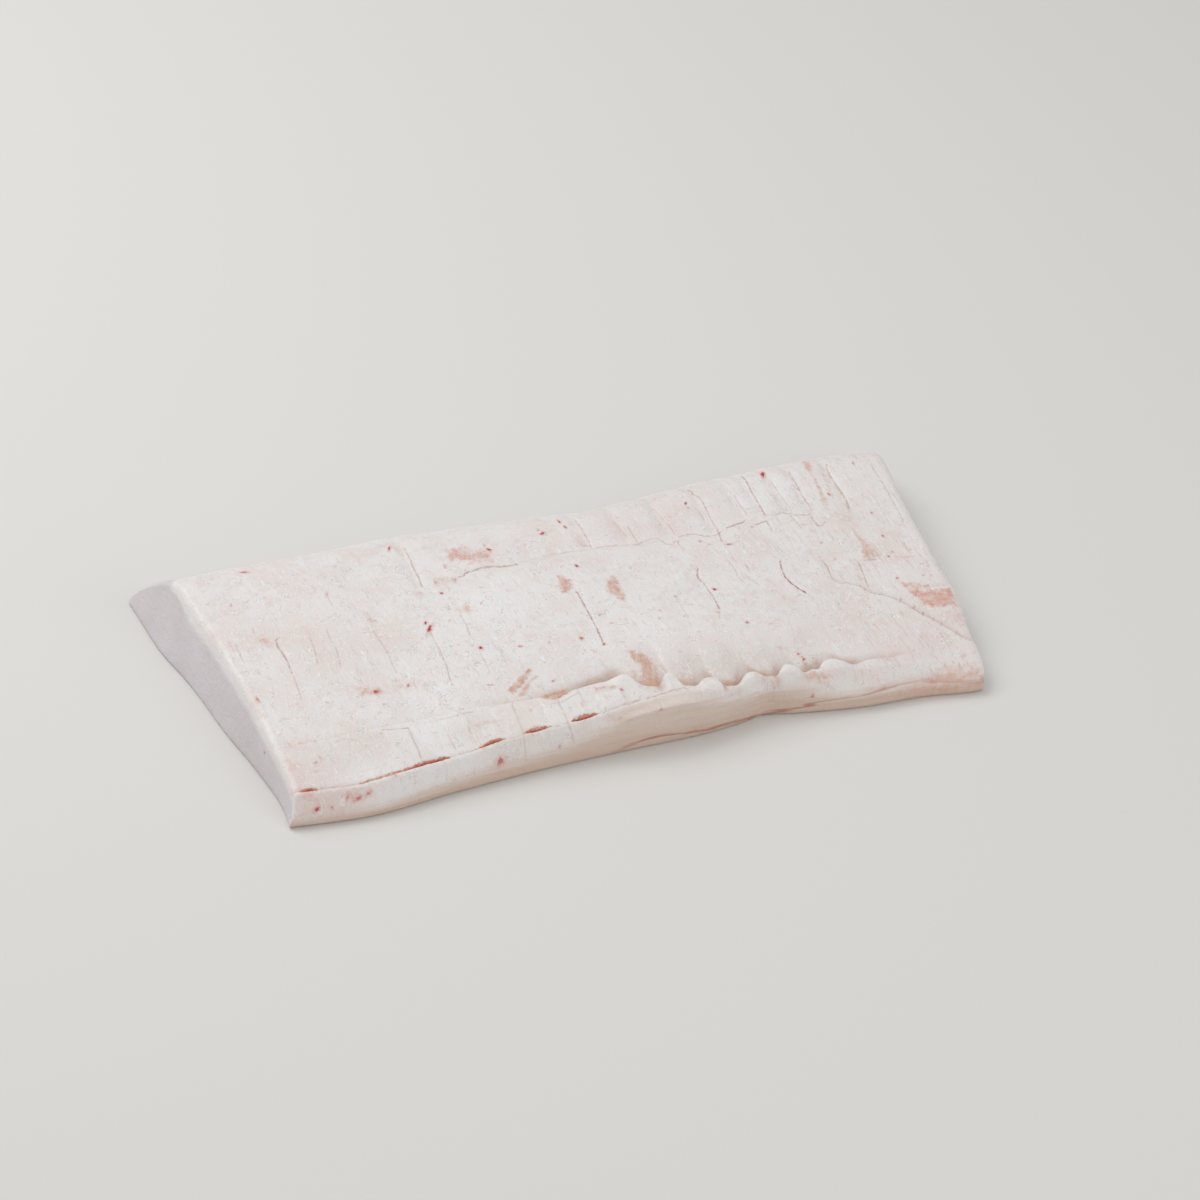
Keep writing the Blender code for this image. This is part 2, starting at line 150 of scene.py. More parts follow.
# %% Outline and thickness
SLAB_LENGTH = 508.0
SLAB_WIDTH = 245.0
FRONT_EDGE = (
    (-250, -116.5), (-225, -120.0), (-192, -122.8), (-130, -116.8), (-70, -112.5),
    (-10, -111.0), (40, -110.0), (62, -107.2), (78, -104.3), (98, -108.5), (140, -115.5),
    (190, -118.5), (208, -121.8), (219, -123.0), (240, -121.5),
)
BACK_EDGE = (
    (-280, 123.0), (-220, 122.5), (-150, 124.5), (-60, 125.7), (30, 119.0), (90, 122.2),
    (150, 128.2), (200, 130.3), (270, 129.5),
)
LEFT_FOOT = (
    (-125, -242.0), (-114, -239.5), (-104, -237.8), (-60, -239.8), (-20, -245.5),
    (20, -248.4), (40, -250.8), (64, -255.4), (130, -255.4),
)
LEFT_TOP = ((-125, -234.5), (0, -234.5), (50, -236.8), (130, -239.0))
RIGHT_TOP = (
    (-130, 219.0), (-122, 222.2), (-114, 226.4), (-106, 227.7), (-85, 231.1), (-50, 238.0),
    (-5, 241.2), (40, 247.7), (90, 257.7), (130, 262.0),
)
RIGHT_FOOT_OUT = 1.5
BACK_THICKNESS = 37.0
RIGHT_END_THINNER = 2.5
# It thins between these places, as shares of the length from the middle.
RIGHT_END_THINS = (-0.4, 0.4)
FRONT_FALL = 18.0
FALL_STARTS = 0.70
FALL_SPAN = 0.65
RIDGE_LIFT = 14.0
RIDGE_AT = 61.0
RIDGE_REACH = (152.0, 66.0)


def thickness(x, y):
    """Full height at the back; minus a fall that grows with the square of the way forward."""
    full = BACK_THICKNESS - RIGHT_END_THINNER * ease(x / SLAB_LENGTH, RIGHT_END_THINS)
    lift = RIDGE_LIFT * lopsided_swell(x, RIDGE_AT, RIDGE_REACH)
    ahead = np.maximum((FALL_STARTS - 0.5 - y / SLAB_WIDTH) / FALL_SPAN, 0.0)
    return full - (FRONT_FALL - lift) * ahead ** 2


print("height at the back and at the front:", thickness(0.0, 100.0), thickness(0.0, -100.0))

# %% [markdown]
# ## Rounded edges
# Fat has no sharp corners. Each edge is a superellipse, x^n + z^n = 1: with n = 2 it is a plain
# round, and with a smaller n it flattens towards a chamfer, as the back edge does. The front
# side has an upright band below its round, and that band is tallest at the shoulder.

# %% Rounded edges
LEFT_ROUND, LEFT_ROUND_FALL = 5.0, 0.14
RIGHT_ROUND, RIGHT_ROUND_FALL = 8.0, 0.20
CUT_ROUNDNESS = 2.0
FRONT_ROUNDNESS = 1.35
# The upright band of the front side, as (x, height).
FRONT_UPRIGHT = (
    (-250, 7.0), (-141, 8.0), (-113, 9.0), (-79, 9.0), (-51, 13.0), (-35, 18.5), (-20, 25.0),
    (0, 28.0), (30, 27.0), (51, 22.0), (80, 17.0), (100, 13.5), (120, 11.0), (150, 10.0),
    (240, 8.0),
)
# On the right the front's round reaches in past the line of the slit.
FRONT_REACHES_PAST = 2.5
FRONT_REACHES_FROM = (30.0, 60.0)
BACK_BEVEL = 40.0
BACK_ROUNDNESS = 1.42
BACK_UPRIGHT = 5.0
FOOT_ROUND = 2.0


def edge_fall(distance, reach, roundness):
    """How much of an edge's fall is left at a distance from its side: 1 - (1 - t^n)^(1/n)."""
    t = np.clip(1.0 - distance / reach, 0.0, 1.0)
    return 1.0 - (1.0 - t ** roundness) ** (1.0 / roundness)


print("tallest upright band:", max(height for _, height in FRONT_UPRIGHT), "mm")

# %% [markdown]
# ## The slit
# A knife went in along the front shoulder. It stands open along five stretches, each a lens
# seen from above with steep walls and a lip in front, and elsewhere it is a mere crease.

# %% The slit
SLIT_PATH = (
    (-240, -108.0), (-192, -112.0), (-134, -108.0), (-98, -104.5), (-45, -104.0),
    (0, -100.5), (24, -101.2), (40, -103.0), (56, -104.7), (68, -103.4), (80, -101.8),
    (104, -102.6), (130, -104.0), (200, -108.0), (240, -110.0),
)
# Each opening as (start, end, half width, depth, where its widest point is along it).
SLIT_OPENINGS = (
    (-231.0, -218.0, 0.8, 1.8, 0.5), (-194.0, -133.0, 1.1, 3.0, 0.80),
    (-117.0, -97.0, 1.0, 2.8, 0.6), (-85.0, -67.5, 1.3, 3.2, 0.5), (-54.0, -35.0, 1.6, 4.4, 0.45),
)
OPENS_BACK = 0.6
# Past the end of an opening the half width goes on falling below 0, this much for each mm.
SHUT_SLOPE = 0.5
LEAST_HALF_WIDTH = 0.001
SLIT_CREASE = 0.5
SLIT_CREASE_HALF_WIDTH = 1.6
SLIT_NARROWS_TO = 0.5
SLIT_FADES = (30.0, 60.0)
LIP_HEIGHT = 0.7
LIP_IN_FRONT = 2.6
LIP_WIDTH = 1.6


def opening_half_width(x):
    """How far the slit stands open: for each stretch, half a lens; below 0 where it is shut."""
    widths = []
    for start, end, half_width, _, widest in SLIT_OPENINGS:
        t = np.clip((x - start) / (end - start), 0.0, 1.0) ** (np.log(0.5) / np.log(widest))
        outside = np.maximum(start - x, x - end)
        lens_shape = half_width * np.sin(np.pi * t)
        widths.append(np.where(outside < 0.0, lens_shape, -SHUT_SLOPE * outside))
    return np.max(widths, axis=0)


def crease_half_width(x):
    """Half the crease's width, which shrinks where the slit fades."""
    narrower_by = SLIT_CREASE_HALF_WIDTH - SLIT_NARROWS_TO
    return SLIT_CREASE_HALF_WIDTH - narrower_by * ease(x, SLIT_FADES)


def slit_relief(x, y):
    """A round-bottomed slot where the slit is open, a crease elsewhere, and a lip in front."""
    behind = y - along(x, SLIT_PATH)
    half_width = np.maximum(opening_half_width(x), LEAST_HALF_WIDTH)
    depth = np.zeros_like(x)
    for start, end, widest_half, deepest, _ in SLIT_OPENINGS:
        inside = (x > start) & (x < end)
        depth = np.where(inside, deepest * half_width / widest_half, depth)
    slot = depth * np.sqrt(np.clip(1.0 - (behind / half_width - OPENS_BACK) ** 2, 0.0, 1.0))
    shown = 1.0 - ease(x, SLIT_FADES)
    crease = SLIT_CREASE * shown * np.clip(1.0 - np.abs(behind) / crease_half_width(x), 0.0, 1.0)
    lip = LIP_HEIGHT * shown * swell((behind + LIP_IN_FRONT) / LIP_WIDTH)
    return lip - np.maximum(slot, crease)


longest = max(end - start for start, end, _, _, _ in SLIT_OPENINGS)
print("openings:", len(SLIT_OPENINGS), "the longest is", longest, "mm")

# %% [markdown]
# ## The crest
# Behind the slit the ribs and the backbone were cut away. On the left that left a row of
# tiles of fat, each ending in a small step. On the right it left knuckles of fat with bays
# between them, and a smooth hollow behind. A bay's edge turns away from the camera, so
# it reads as a crisp line, and that has to come from the mesh. The soft shade behind it is
# painted shade, carried by the shade attribute.

# %% The crest
# The line where the crest drops: level with the tiles on the left, bays and knuckles on the right.
CREST_PATH = (
    (-240, -77.0), (-100, -77.0), (-55, -80.0), (-15, -79.0), (-8, -80.0), (-2, -84.0),
    (6, -88.5), (12.2, -89.0), (14.5, -88.0), (21.5, -89.0), (24.3, -95.0), (28, -97.0),
    (33.4, -98.0), (35.2, -97.0), (38.6, -95.5), (43.2, -95.5), (47.1, -97.0), (49.4, -100.5),
    (54, -102.3), (59.6, -101.8), (62, -100.0), (66.7, -97.0), (71.5, -96.5), (75.8, -98.0),
    (77.6, -99.5), (82.3, -99.8), (87.9, -99.3), (90, -97.5), (92.7, -95.5), (98.3, -95.0),
    (103.4, -96.0), (106, -98.0), (111.7, -98.5), (117.4, -98.0), (119.8, -96.0), (124.7, -95.0),
    (133.6, -97.0), (139.6, -99.0), (146, -98.5), (152, -97.5), (158, -97.5), (166, -98.0),
    (176, -97.0), (240, -97.0),
)
# How high the crest stands along that edge: up on a knuckle, down in a bay, as (x, height).
CREST_HEIGHT = (
    (-20, 0.0), (-7, 3.0), (1.7, -2.7), (7.7, -3.0), (12.6, -2.3), (14.3, 2.1), (17.3, 3.6),
    (21.5, 2.2), (24.3, -0.7), (28, -1.2), (33.4, -1.7), (35.2, -0.8), (38.6, -0.3), (43.2, -0.6),
    (47.1, -1.7), (49.4, -4.0), (54, -4.4), (59.6, -4.6), (62, -3.8), (66.7, -1.1), (71.5, -0.7),
    (75.8, -1.8), (77.6, -2.6), (82.3, -2.5), (87.9, -2.6), (90, -0.8), (92.7, 0.9), (98.3, 1.3),
    (103.4, -0.6), (106, -2.4), (111.7, -0.5), (117.4, -0.3), (119.8, 1.2), (124.7, 3.0),
    (133.6, 2.7), (139.6, 0.8), (146, 0.7), (152, 0.9), (158, 0.6), (166, 0.0), (185, 0.0),
)
CREST_REACH = 7.0
# How deep the hollow is behind the edge, as (x, depth).
TROUGH_DEPTH = (
    (-90, 0.0), (-60, 1.5), (-30, 3.5), (0, 5.5), (28, 5.5), (54, 7.8), (79, 6.4), (96, 4.8),
    (112, 4.2), (128, 3.0), (140, 2.0), (152, 1.1), (166, 0.5), (190, 0.0),
)
TROUGH_WALL = 2.4
TROUGH_RISES = (2.0, 40.0)
TILE_STEP = 0.7
TILE_STEP_WALL = 2.0
TILE_STEP_FADES_OVER = 20.0
TILES_END = (-20.0, 10.0)
# Tiles of fat as (left, right, back edge at left, back edge at right, height).
TILES = (
    (-197.0, -182.0, -78.5, -82.0, 0.4), (-165.0, -151.0, -77.5, -80.0, 0.9),
    (-128.0, -114.0, -78.5, -78.5, 0.8), (-114.0, -98.0, -89.0, -88.0, 0.5),
    (-96.0, -84.0, -77.5, -78.0, 0.7), (-65.0, -56.0, -82.0, -84.0, 1.1),
    (-55.0, -41.0, -84.0, -80.0, 1.1), (-31.0, -16.0, -87.0, -87.5, 1.2),
)
TILE_EDGE = (-0.2, 1.6)
TILE_SINKS = (8.0, 24.0)
TILE_SIDE = 1.2


def tile_relief(x, y):
    """Each tile is raised in front of its back edge and sinks back over its reach."""
    raised = np.zeros_like(x)
    for left, right, back_left, back_right, height in TILES:
        back = back_left + (back_right - back_left) * (x - left) / (right - left)
        ahead = back - y
        face = ease(ahead, TILE_EDGE) * (1.0 - ease(ahead, TILE_SINKS))
        sides = ease(x, (left - TILE_SIDE, left)) * (1.0 - ease(x, (right, right + TILE_SIDE)))
        raised = np.maximum(raised, height * face * sides)
    return raised


def crest_relief(x, y):
    """Knuckles, minus the hollow behind them, plus the tiles on the left."""
    behind = y - along(x, CREST_PATH)
    fades = (TILE_STEP_WALL, TILE_STEP_WALL + TILE_STEP_FADES_OVER)
    step = ease(behind, (0.0, TILE_STEP_WALL)) * (1.0 - ease(behind, fades))
    tiles = TILE_STEP * step * (1.0 - ease(x, TILES_END))
    fallen = ease(behind, (0.0, TROUGH_WALL))
    trough = along(x, TROUGH_DEPTH) * fallen * (1.0 - ease(behind, TROUGH_RISES))
    knuckles = along(x, CREST_HEIGHT) * swell(np.minimum(behind, 0.0) / CREST_REACH)
    return knuckles * (1.0 - fallen) - trough - tiles + tile_relief(x, y)


print("highest knuckle:", max(height for _, height in CREST_HEIGHT), "mm;", len(TILES), "tiles")

# %% [markdown]
# ## The seam, the back strip and the crack
# A seam divides off the strip along the back, which the knife scored crosswise. At the right
# end the fat has cracked, and the corner beyond the crack lies a step lower. Both lines are
# ragged, so they are drawn as straight pieces.

# %% The seam, the back strip and the crack
SEAM_PATH = (
    (-240, 44.0), (-70, 41.0), (-50, 46.5), (-30, 44.0), (10, 48.0), (57, 42.0), (90, 44.0),
    (110, 38.5), (130, 45.5), (161, 47.5), (180, 38.0), (240, 35.0),
)
SEAM_DEPTH = 0.5
SEAM_HALF_WIDTH = 2.0
SEAM_STARTS = (-100.0, -70.0)
SEAM_ENDS = (185.0, 205.0)
GROOVES_BEHIND_SEAM = (-90, 28, 55, 84, 114, 139, 152, 170, 185, 212)
GROOVE_DEPTH = 0.9
GROOVE_HALF_WIDTH = 3.5
GROOVE_LEAN = 0.10
GROOVES_AT_Y = 90.0
GROOVES_FADE_IN = (0.0, 6.0)
CRACK_PATH = (
    (163.0, -26.0), (171.0, -29.0), (179.0, -35.0), (182.0, -41.0), (188.0, -44.5),
    (194.5, -50.5), (201.5, -60.0), (208.0, -69.5), (216.0, -80.5), (226.0, -95.0),
)
CRACK_STEP = 1.8
CRACK_WALL = 1.6
CRACK_RISES_OVER = 50.0
CRACK_STARTS = (160.0, 166.0)


def seam_relief(x, y):
    """A crease along the seam, and soft grooves that cross the strip behind it."""
    behind = y - along(x, SEAM_PATH)
    shown = ease(x, SEAM_STARTS) * (1.0 - ease(x, SEAM_ENDS))
    crease = SEAM_DEPTH * shown * np.clip(1.0 - np.abs(behind) / SEAM_HALF_WIDTH, 0.0, 1.0)
    leaning = x + GROOVE_LEAN * (GROOVES_AT_Y - y)
    grooves = sum(swell((leaning - at) / GROOVE_HALF_WIDTH) for at in GROOVES_BEHIND_SEAM)
    scored = ease(behind, GROOVES_FADE_IN)
    return -crease - GROOVE_DEPTH * np.minimum(grooves, 1.0) * scored


def crack_relief(x, y):
    """The corner beyond the crack drops by a step, and comes back up over some centimetres."""
    beyond = y - polyline(x, CRACK_PATH)
    drop = ease(beyond, (0.0, CRACK_WALL)) * (1.0 - ease(beyond, (0.0, CRACK_RISES_OVER)))
    return -CRACK_STEP * drop * ease(x, CRACK_STARTS)


print(len(GROOVES_BEHIND_SEAM), "grooves behind the seam")

# %% [markdown]
# ## Unevenness
# A soft slab has slow waves a few centimetres long, and under the fingers a finer grain where
# the knife dragged. The waves are sines. The grain is value noise: random heights on a square
# lattice, made by scrambling whole numbers, with a smooth curve between them. It is the same on
# every run, because nothing is drawn from a random generator.

# %% Unevenness
UNEVENNESS = 0.6
WAVE = (0.061, 0.057, 0.023)
WAVE_BEND = 2.0
RIPPLE = (0.131, -0.048, 0.035, 0.097)
RIPPLE_SHARE = 0.5
# Grain as (cell along X in mm, cell across in mm, height in mm).
GRAIN = ((34.0, 22.0, 0.45), (13.0, 9.0, 0.24), (5.5, 5.0, 0.10))
GRAIN_SHIFT = (31.7, 17.3)
# Large odd numbers that scramble the two whole numbers of a corner, its seed and their sum.
SCRAMBLE = (374761393, 668265263, 2246822519, 1274126177)
LOW_32_BITS, LOW_16_BITS = 0xFFFFFFFF, 0xFFFF


def lattice_height(i, j, seed):
    """A scrambled height from 0 to 1 for each cell corner.

    The corner's two whole numbers and the seed are each multiplied by a large number and added.
    The sum is folded onto its own upper digits, multiplied and folded again.
    """
    h = i.astype(np.int64) * SCRAMBLE[0] + j.astype(np.int64) * SCRAMBLE[1] + seed * SCRAMBLE[2]
    h = (h ^ (h >> 13)) & LOW_32_BITS
    h = (h * SCRAMBLE[3]) & LOW_32_BITS
    return ((h ^ (h >> 16)) & LOW_16_BITS) / LOW_16_BITS


def value_noise(u, v, seed):
    """Noise from -1 to 1: lattice heights joined by a smooth curve both ways."""
    i, j = np.floor(u), np.floor(v)
    s, t = u - i, v - j
    s, t = s * s * (3.0 - 2.0 * s), t * t * (3.0 - 2.0 * t)
    near = lattice_height(i, j, seed) * (1 - s) + lattice_height(i + 1, j, seed) * s
    far = lattice_height(i, j + 1, seed) * (1 - s) + lattice_height(i + 1, j + 1, seed) * s
    return 2.0 * (near * (1.0 - t) + far * t) - 1.0


def uneven(x, y):
    """Slow sine waves over the whole top."""
    waves = np.sin(WAVE[0] * x + WAVE_BEND * np.sin(WAVE[2] * y)) * np.cos(WAVE[1] * y)
    ripple = np.sin(RIPPLE[0] * x + RIPPLE[1] * y) * np.sin(RIPPLE[2] * x + RIPPLE[3] * y)
    return UNEVENNESS * (waves + RIPPLE_SHARE * ripple)


def grain(u, v):
    """Three sizes of value noise added together, each times its own height."""
    layers = [
        height * value_noise(u / wide + GRAIN_SHIFT[0], v / deep + GRAIN_SHIFT[1], seed)
        for seed, (wide, deep, height) in enumerate(GRAIN)
    ]
    return sum(layers)


print("grain stays within", sum(height for _, _, height in GRAIN), "mm")

# %% [markdown]
# ## The fine lines
# The knife lines, the tiles' edges and the seam are a few tenths of a millimetre wide, which is
# finer than the grid. The lines along the tiles' back edges are painted shade, the thin shadow
# behind each step. The mesh gets a shallow groove for each, and the material draws the line
# itself: every vertex stores its signed distance to the nearest line. That distance is a
# straight function of position, so it stays exact between vertices, and the material can cut it
# off as sharply as it likes. The sign matters: a plain distance would never reach zero between
# two vertices. Lines that run across the slab and lines that run along it are kept apart, so
# that a crossing doesn't confuse the two.

# %% The fine lines
# Each line as (strength, redness, points).
CUTS_ACROSS = (
    (0.35, 0.3, ((-224, 18), (-224.6, 3))),
    (0.80, 0.3, ((-196.5, 16.5), (-199, 14.5), (-200.3, 8), (-200, 0), (-200, -8), (-200.6, -18))),
    (0.35, 0.5, ((-200.6, -19), (-202, -30), (-203.4, -40))),
    (0.35, 0.2, ((-208.5, 30), (-209.3, 25), (-209.2, 20))),
    (0.45, 0.1, ((-179, 10.5), (-179.2, 4), (-180, -1), (-181.5, -8), (-182.5, -13))),
    (0.35, 0.1, ((-166, 14), (-166.8, 8), (-167, 2))),
    (0.25, 0.4, ((-166.5, -2), (-169, -12), (-170, -20))),
    (0.35, 0.3, ((-138.4, 6.5), (-138, -8), (-138.3, -18), (-139.1, -33))),
    (0.35, 0.4, ((-153, 45), (-154, 37))),
    (0.60, 0.5, ((-87.3, 81), (-88.5, 70), (-90, 60), (-90.5, 50), (-91.8, 41))),
    (0.50, 0.1, ((-105.3, -5), (-106, -20), (-107.5, -35), (-109.5, -45), (-111, -53))),
    (0.50, 0.3, ((-81.2, 5.6), (-81.5, -4), (-83, -14))),
    (0.25, 0.5, ((-83, -30), (-84, -42), (-84.8, -50))),
    (0.90, 0.35, ((-2, 7), (-2.4, -2), (-2.8, -10), (-3.8, -22), (-5, -32), (-6.8, -44))),
    (0.25, 0.2, ((56.8, -8.4), (55.8, -20), (55.3, -35.5))),
    (0.85, 0.45, ((82.8, 8.5), (80.2, 3.5), (78.9, 0.5), (79.8, -4), (80.3, -9), (79.6, -16),
                  (78.8, -26), (77.6, -35))),
    (0.35, 0.3, ((76.5, -36), (73.5, -43))),
    (1.15, 0.8, ((137.5, 1.5), (135.3, -4), (134, -10), (133.4, -15), (134.6, -21), (136.6, -26),
                 (139.5, -32))),
    (0.40, 0.1, ((104.9, 9.9), (105.3, 2), (104, -8), (105, -14))),
    (0.30, 0.1, ((114.5, 4), (113.8, -4))),
    (0.30, 0.1, ((109.5, -4), (110.5, -11), (113, -18))),
    (0.50, 0.5, ((29.8, 82), (29, 70), (28.2, 60), (27, 49))),
    (0.30, 0.5, ((53.0, 71), (53.2, 62), (53.6, 54))),
    (0.45, 0.6, ((58.9, 62), (57.9, 55), (57.2, 45))),
    (0.50, 0.2, ((84.3, 68), (85, 60), (85.2, 52), (84.5, 47))),
    (0.60, 0.5, ((116.8, 95), (115.5, 85), (117.3, 80), (116.8, 70), (115.5, 62), (114.5, 56),
                 (113.8, 46), (112.8, 40), (110.4, 32))),
    (0.35, 0.4, ((111.0, 66), (110.7, 58))),
    (0.35, 0.4, ((140.8, 76), (139.6, 68), (139, 54))),
    (0.75, 0.15, ((157.5, 100), (155.5, 88), (153.5, 76), (152, 66), (150.8, 56), (149.4, 49))),
    (0.60, 0.8, ((147.6, 41), (147.4, 36), (146.6, 33))),
    (0.35, 0.15, ((171.8, 86), (171, 74), (170, 60), (168.8, 48))),
    (0.40, 0.5, ((165.5, 44), (165.8, 36), (166.4, 30))),
    (0.50, 0.35, ((187.3, 89.5), (186, 76), (184.5, 66), (183.6, 56), (182.6, 48))),
    (0.60, 0.35, ((178.6, 40), (178, 34), (178.2, 30))),
    (0.70, 0.3, ((215.3, 91), (213, 86), (212.2, 78), (211.5, 68), (210.8, 58), (209.5, 50),
                 (207.8, 43))),
    (0.30, 0.1, ((205.5, 40), (205, 33))),
    (0.45, 0.3, ((244.5, 84), (242.5, 76), (241.3, 64), (239.8, 52), (238.5, 44), (236.5, 30),
                 (234.5, 18))),
    (0.20, 0.2, ((229, 50), (226, 30), (223.5, 15))),
    (0.55, 0.1, ((187.7, -10.5), (186.2, -18), (184.5, -28), (182.8, -35))),
    (0.55, 0.2, ((-150.5, -80), (-151.2, -90), (-151.3, -100), (-152, -106))),
    (0.30, 0.6, ((-128.6, -85), (-129, -95), (-128.8, -103))),
    (0.35, 0.1, ((-81, -76), (-82.8, -82), (-84, -90), (-84.4, -98), (-85.5, -106), (-86, -112))),
    (0.36, 0.3, ((-55, -84), (-55.4, -92), (-55.6, -98), (-56.5, -106), (-54.5, -110))),
    (0.35, 0.1, ((-115, -89), (-115.3, -97), (-115, -102))),
    (0.60, 0.2, ((196, -53), (198.5, -50))),
    (0.70, 0.2, ((201.5, -60), (204.8, -57.8))),
    (0.70, 0.2, ((205.5, -67), (208, -64))),
    (0.70, 0.2, ((210, -73.5), (212.3, -70))),
    (0.60, 0.2, ((213, -78), (215.3, -75))),
    (0.70, 0.2, ((219.5, -87), (221.8, -84))),
)
CUTS_ALONG = (
    (0.75, 0.6, ((-66, 42.5), (-63, 42.5), (-61.5, 45), (-56.7, 45.8), (-50.9, 47.5),
                 (-46, 47.6), (-40.7, 46.4), (-36.5, 45.4), (-31, 44.8), (-25.7, 45.3))),
    (0.22, 0.2, ((-22, 46.5), (0.2, 49.4), (26.4, 47.7))),
    (0.35, 0.4, ((29, 47.4), (40, 45.5), (49.9, 43.7), (57.3, 42.6), (62, 45), (68.8, 46.2),
                 (73, 45.5))),
    (0.60, 0.1, ((73.5, 42.5), (75, 38.5), (78, 37.5))),
    (0.60, 0.2, ((80.5, 39.5), (83.5, 40.5), (82.5, 36))),
    (0.50, 0.4, ((87.5, 45), (91, 45.3), (96, 44.5), (99.5, 43), (101.5, 41.5), (103.8, 40.2),
                 (107, 39.6), (110.5, 39.3), (113.8, 41), (118, 43))),
    (0.75, 0.7, ((118, 43), (123.3, 44.6), (128, 45.7), (133, 46.5), (134.3, 47.5))),
    (0.85, 0.8, ((135.9, 39.8), (140, 41.3), (144, 42.3), (147.5, 42.6))),
    (0.50, 0.15, ((150, 48.2), (154.5, 46.5), (161.2, 48.3), (167.3, 46.2))),
    (0.50, 0.15, ((169.5, 44.4), (174, 42.8), (177.5, 41.6), (180.5, 44.6))),
    (0.60, 0.5, ((178, 29.5), (181.5, 28.6), (184, 31.4))),
    (0.70, 0.2, ((165.5, -4), (166, -9), (164.8, -14), (163.8, -20), (163.4, -26), (166, -28.3),
                 (170, -28.6), (173, -30.5))),
    (0.85, 0.2, ((179, -32), (179.3, -38), (181.5, -41), (185.5, -43.5), (190, -46),
                 (194.5, -50.5), (198.5, -55.5), (201.5, -60), (204.5, -65), (208, -69.5),
                 (212, -74.5), (216, -80.5), (219.5, -86), (223, -91), (226, -94))),
    (0.50, 0.1, ((190.5, -9.8), (195, -11.2), (200, -12))),
    (0.45, 0.1, ((214, -13), (219, -15.5), (224, -16.5))),
    # These four lines, along the tiles' back edges, are painted shade behind each step.
    (0.60, 0.1, ((-165, -77.5), (-160, -78.3), (-155, -79.3), (-150.5, -80))),
    (0.55, 0.1, ((-128, -78.5), (-120, -79), (-113, -78), (-108, -78.5))),
    (0.25, 0.1, ((-196, -79), (-190, -78), (-186, -80), (-182, -83))),
    (0.60, 0.5, ((-57, -83.5), (-53, -83.8), (-50.5, -81.5), (-46, -80.5))),
    (0.35, 0.3, ((-61, -88), (-52, -88), (-46, -85.5), (-40, -84))),
    (0.35, 0.4, ((-217, -109.8), (-205, -111), (-196, -111.6))),
    (0.95, 0.5, ((-194, -111.9), (-180, -111.2), (-165, -110.2), (-150, -109.2))),
    (0.35, 0.3, ((-132, -107.7), (-125, -107), (-119, -106.3))),
    (0.35, 0.3, ((-95, -104.8), (-91, -104.9), (-87, -104.6))),
    (0.35, 0.3, ((-66, -104.6), (-60, -104.8), (-56, -104.5))),
    (0.50, 0.7, ((-33, -103.8), (-28, -103.3), (-20, -102.2), (-14, -101.3), (-7, -99.8),
                 (-5, -97.5))),
    (0.45, 0.7, ((-2, -100.4), (4, -99.8), (6.5, -99.5), (14, -99), (24, -99.4))),
)
LINE_REACH = 3.0
LINE_END = 1.5
# A line is at full strength where the second one is this much further off, and gone 1 mm less.
LINE_APART = 1.5
GROOVE_UNDER_LINE = 0.2
GROOVE_UNDER_LINE_HALF_WIDTH = 1.3
FAR = 1e6


def signed_line_field(x, y, lines):
    """For each point (signed distance, strength, redness) of the nearest line.

    The distance is taken square to the nearest straight piece. Strength fades past a line's
    end, and where a second line is nearly as close, so that no false line appears between two.
    """
    best = np.full(x.shape, FAR)
    second = np.full(x.shape, FAR)
    field = np.zeros(x.shape + (3,))
    for strength, redness, points in lines:
        nearest = np.full(x.shape, FAR)
        offset = np.zeros(x.shape)
        for (x0, y0), (x1, y1) in zip(points[:-1], points[1:]):
            length = np.hypot(x1 - x0, y1 - y0)
            dx, dy = (x1 - x0) / length, (y1 - y0) / length
            t = np.clip((x - x0) * dx + (y - y0) * dy, 0.0, length)
            distance = np.hypot(x - x0 - t * dx, y - y0 - t * dy)
            side = (x - x0) * dy - (y - y0) * dx
            offset = np.where(distance < nearest, side, offset)
            nearest = np.minimum(distance, nearest)
        past_end = np.sqrt(np.maximum(nearest ** 2 - offset ** 2, 0.0))
        shown = strength * np.clip(1.0 - past_end / LINE_END, 0.0, 1.0)
        closer = nearest < best
        second = np.where(closer, best, np.minimum(second, nearest))
        entry = np.stack([offset, shown, np.full(x.shape, redness)], axis=-1)
        field = np.where(closer[..., None], entry, field)
        best = np.minimum(best, nearest)
    field[..., 0] = np.clip(field[..., 0], -LINE_REACH, LINE_REACH)
    alone = np.clip(second - best - LINE_APART + 1.0, 0.0, 1.0)
    field[..., 1] *= alone * (best < LINE_REACH)
    return field


def line_groove(field):
    """A shallow V under each line."""
    v = np.clip(1.0 - np.abs(field[..., 0]) / GROOVE_UNDER_LINE_HALF_WIDTH, 0.0, 1.0)
    return GROOVE_UNDER_LINE * field[..., 1] * v


print(len(CUTS_ACROSS) + len(CUTS_ALONG), "lines")

# %% [markdown]
# ## The grid
# The top is one sheet of points. Its columns lean from the left cut's slant to the right cut's,
# and its rows follow the slit, the crest and the seam, packed closest where the form changes
# fastest. Rows follow lines given over X and the ends follow cuts given over Y, so the two
# are worked out in turn until they agree.

# %% The grid
COLUMNS = 416
END_COLUMNS = 5
# Each band of rows as (line, offset in mm, steps, spacing).
ROWS = (
    ("slit", -1.2, 12, "both ends"), ("slit", 0.0, 3, "even"), ("slit back", 0.0, 4, "even"),
    ("crest", -0.6, 18, "even"), ("crest", 0.8, 4, "even"), ("crest", 2.8, 4, "even"),
    ("crest", 9.0, 7, "even"), ("seam", -2.0, 78, "even"), ("seam", 0.0, 2, "even"),
    ("seam", 2.0, 2, "even"),
    ("bevel", 0.0, 22, "even"), ("back", 0.0, 34, "arc end"),
)
SETTLING_ROUNDS = 4
# The relief fades in over these margins behind the front edge and before the back edge.
RELIEF_MARGIN_FRONT = 6.0
RELIEF_MARGIN_BACK = 12.0
# The grooves under the lines and the grain fade out this near to a cut.
CUT_CALM = 8.0
GRAIN_SUNK = 0.3


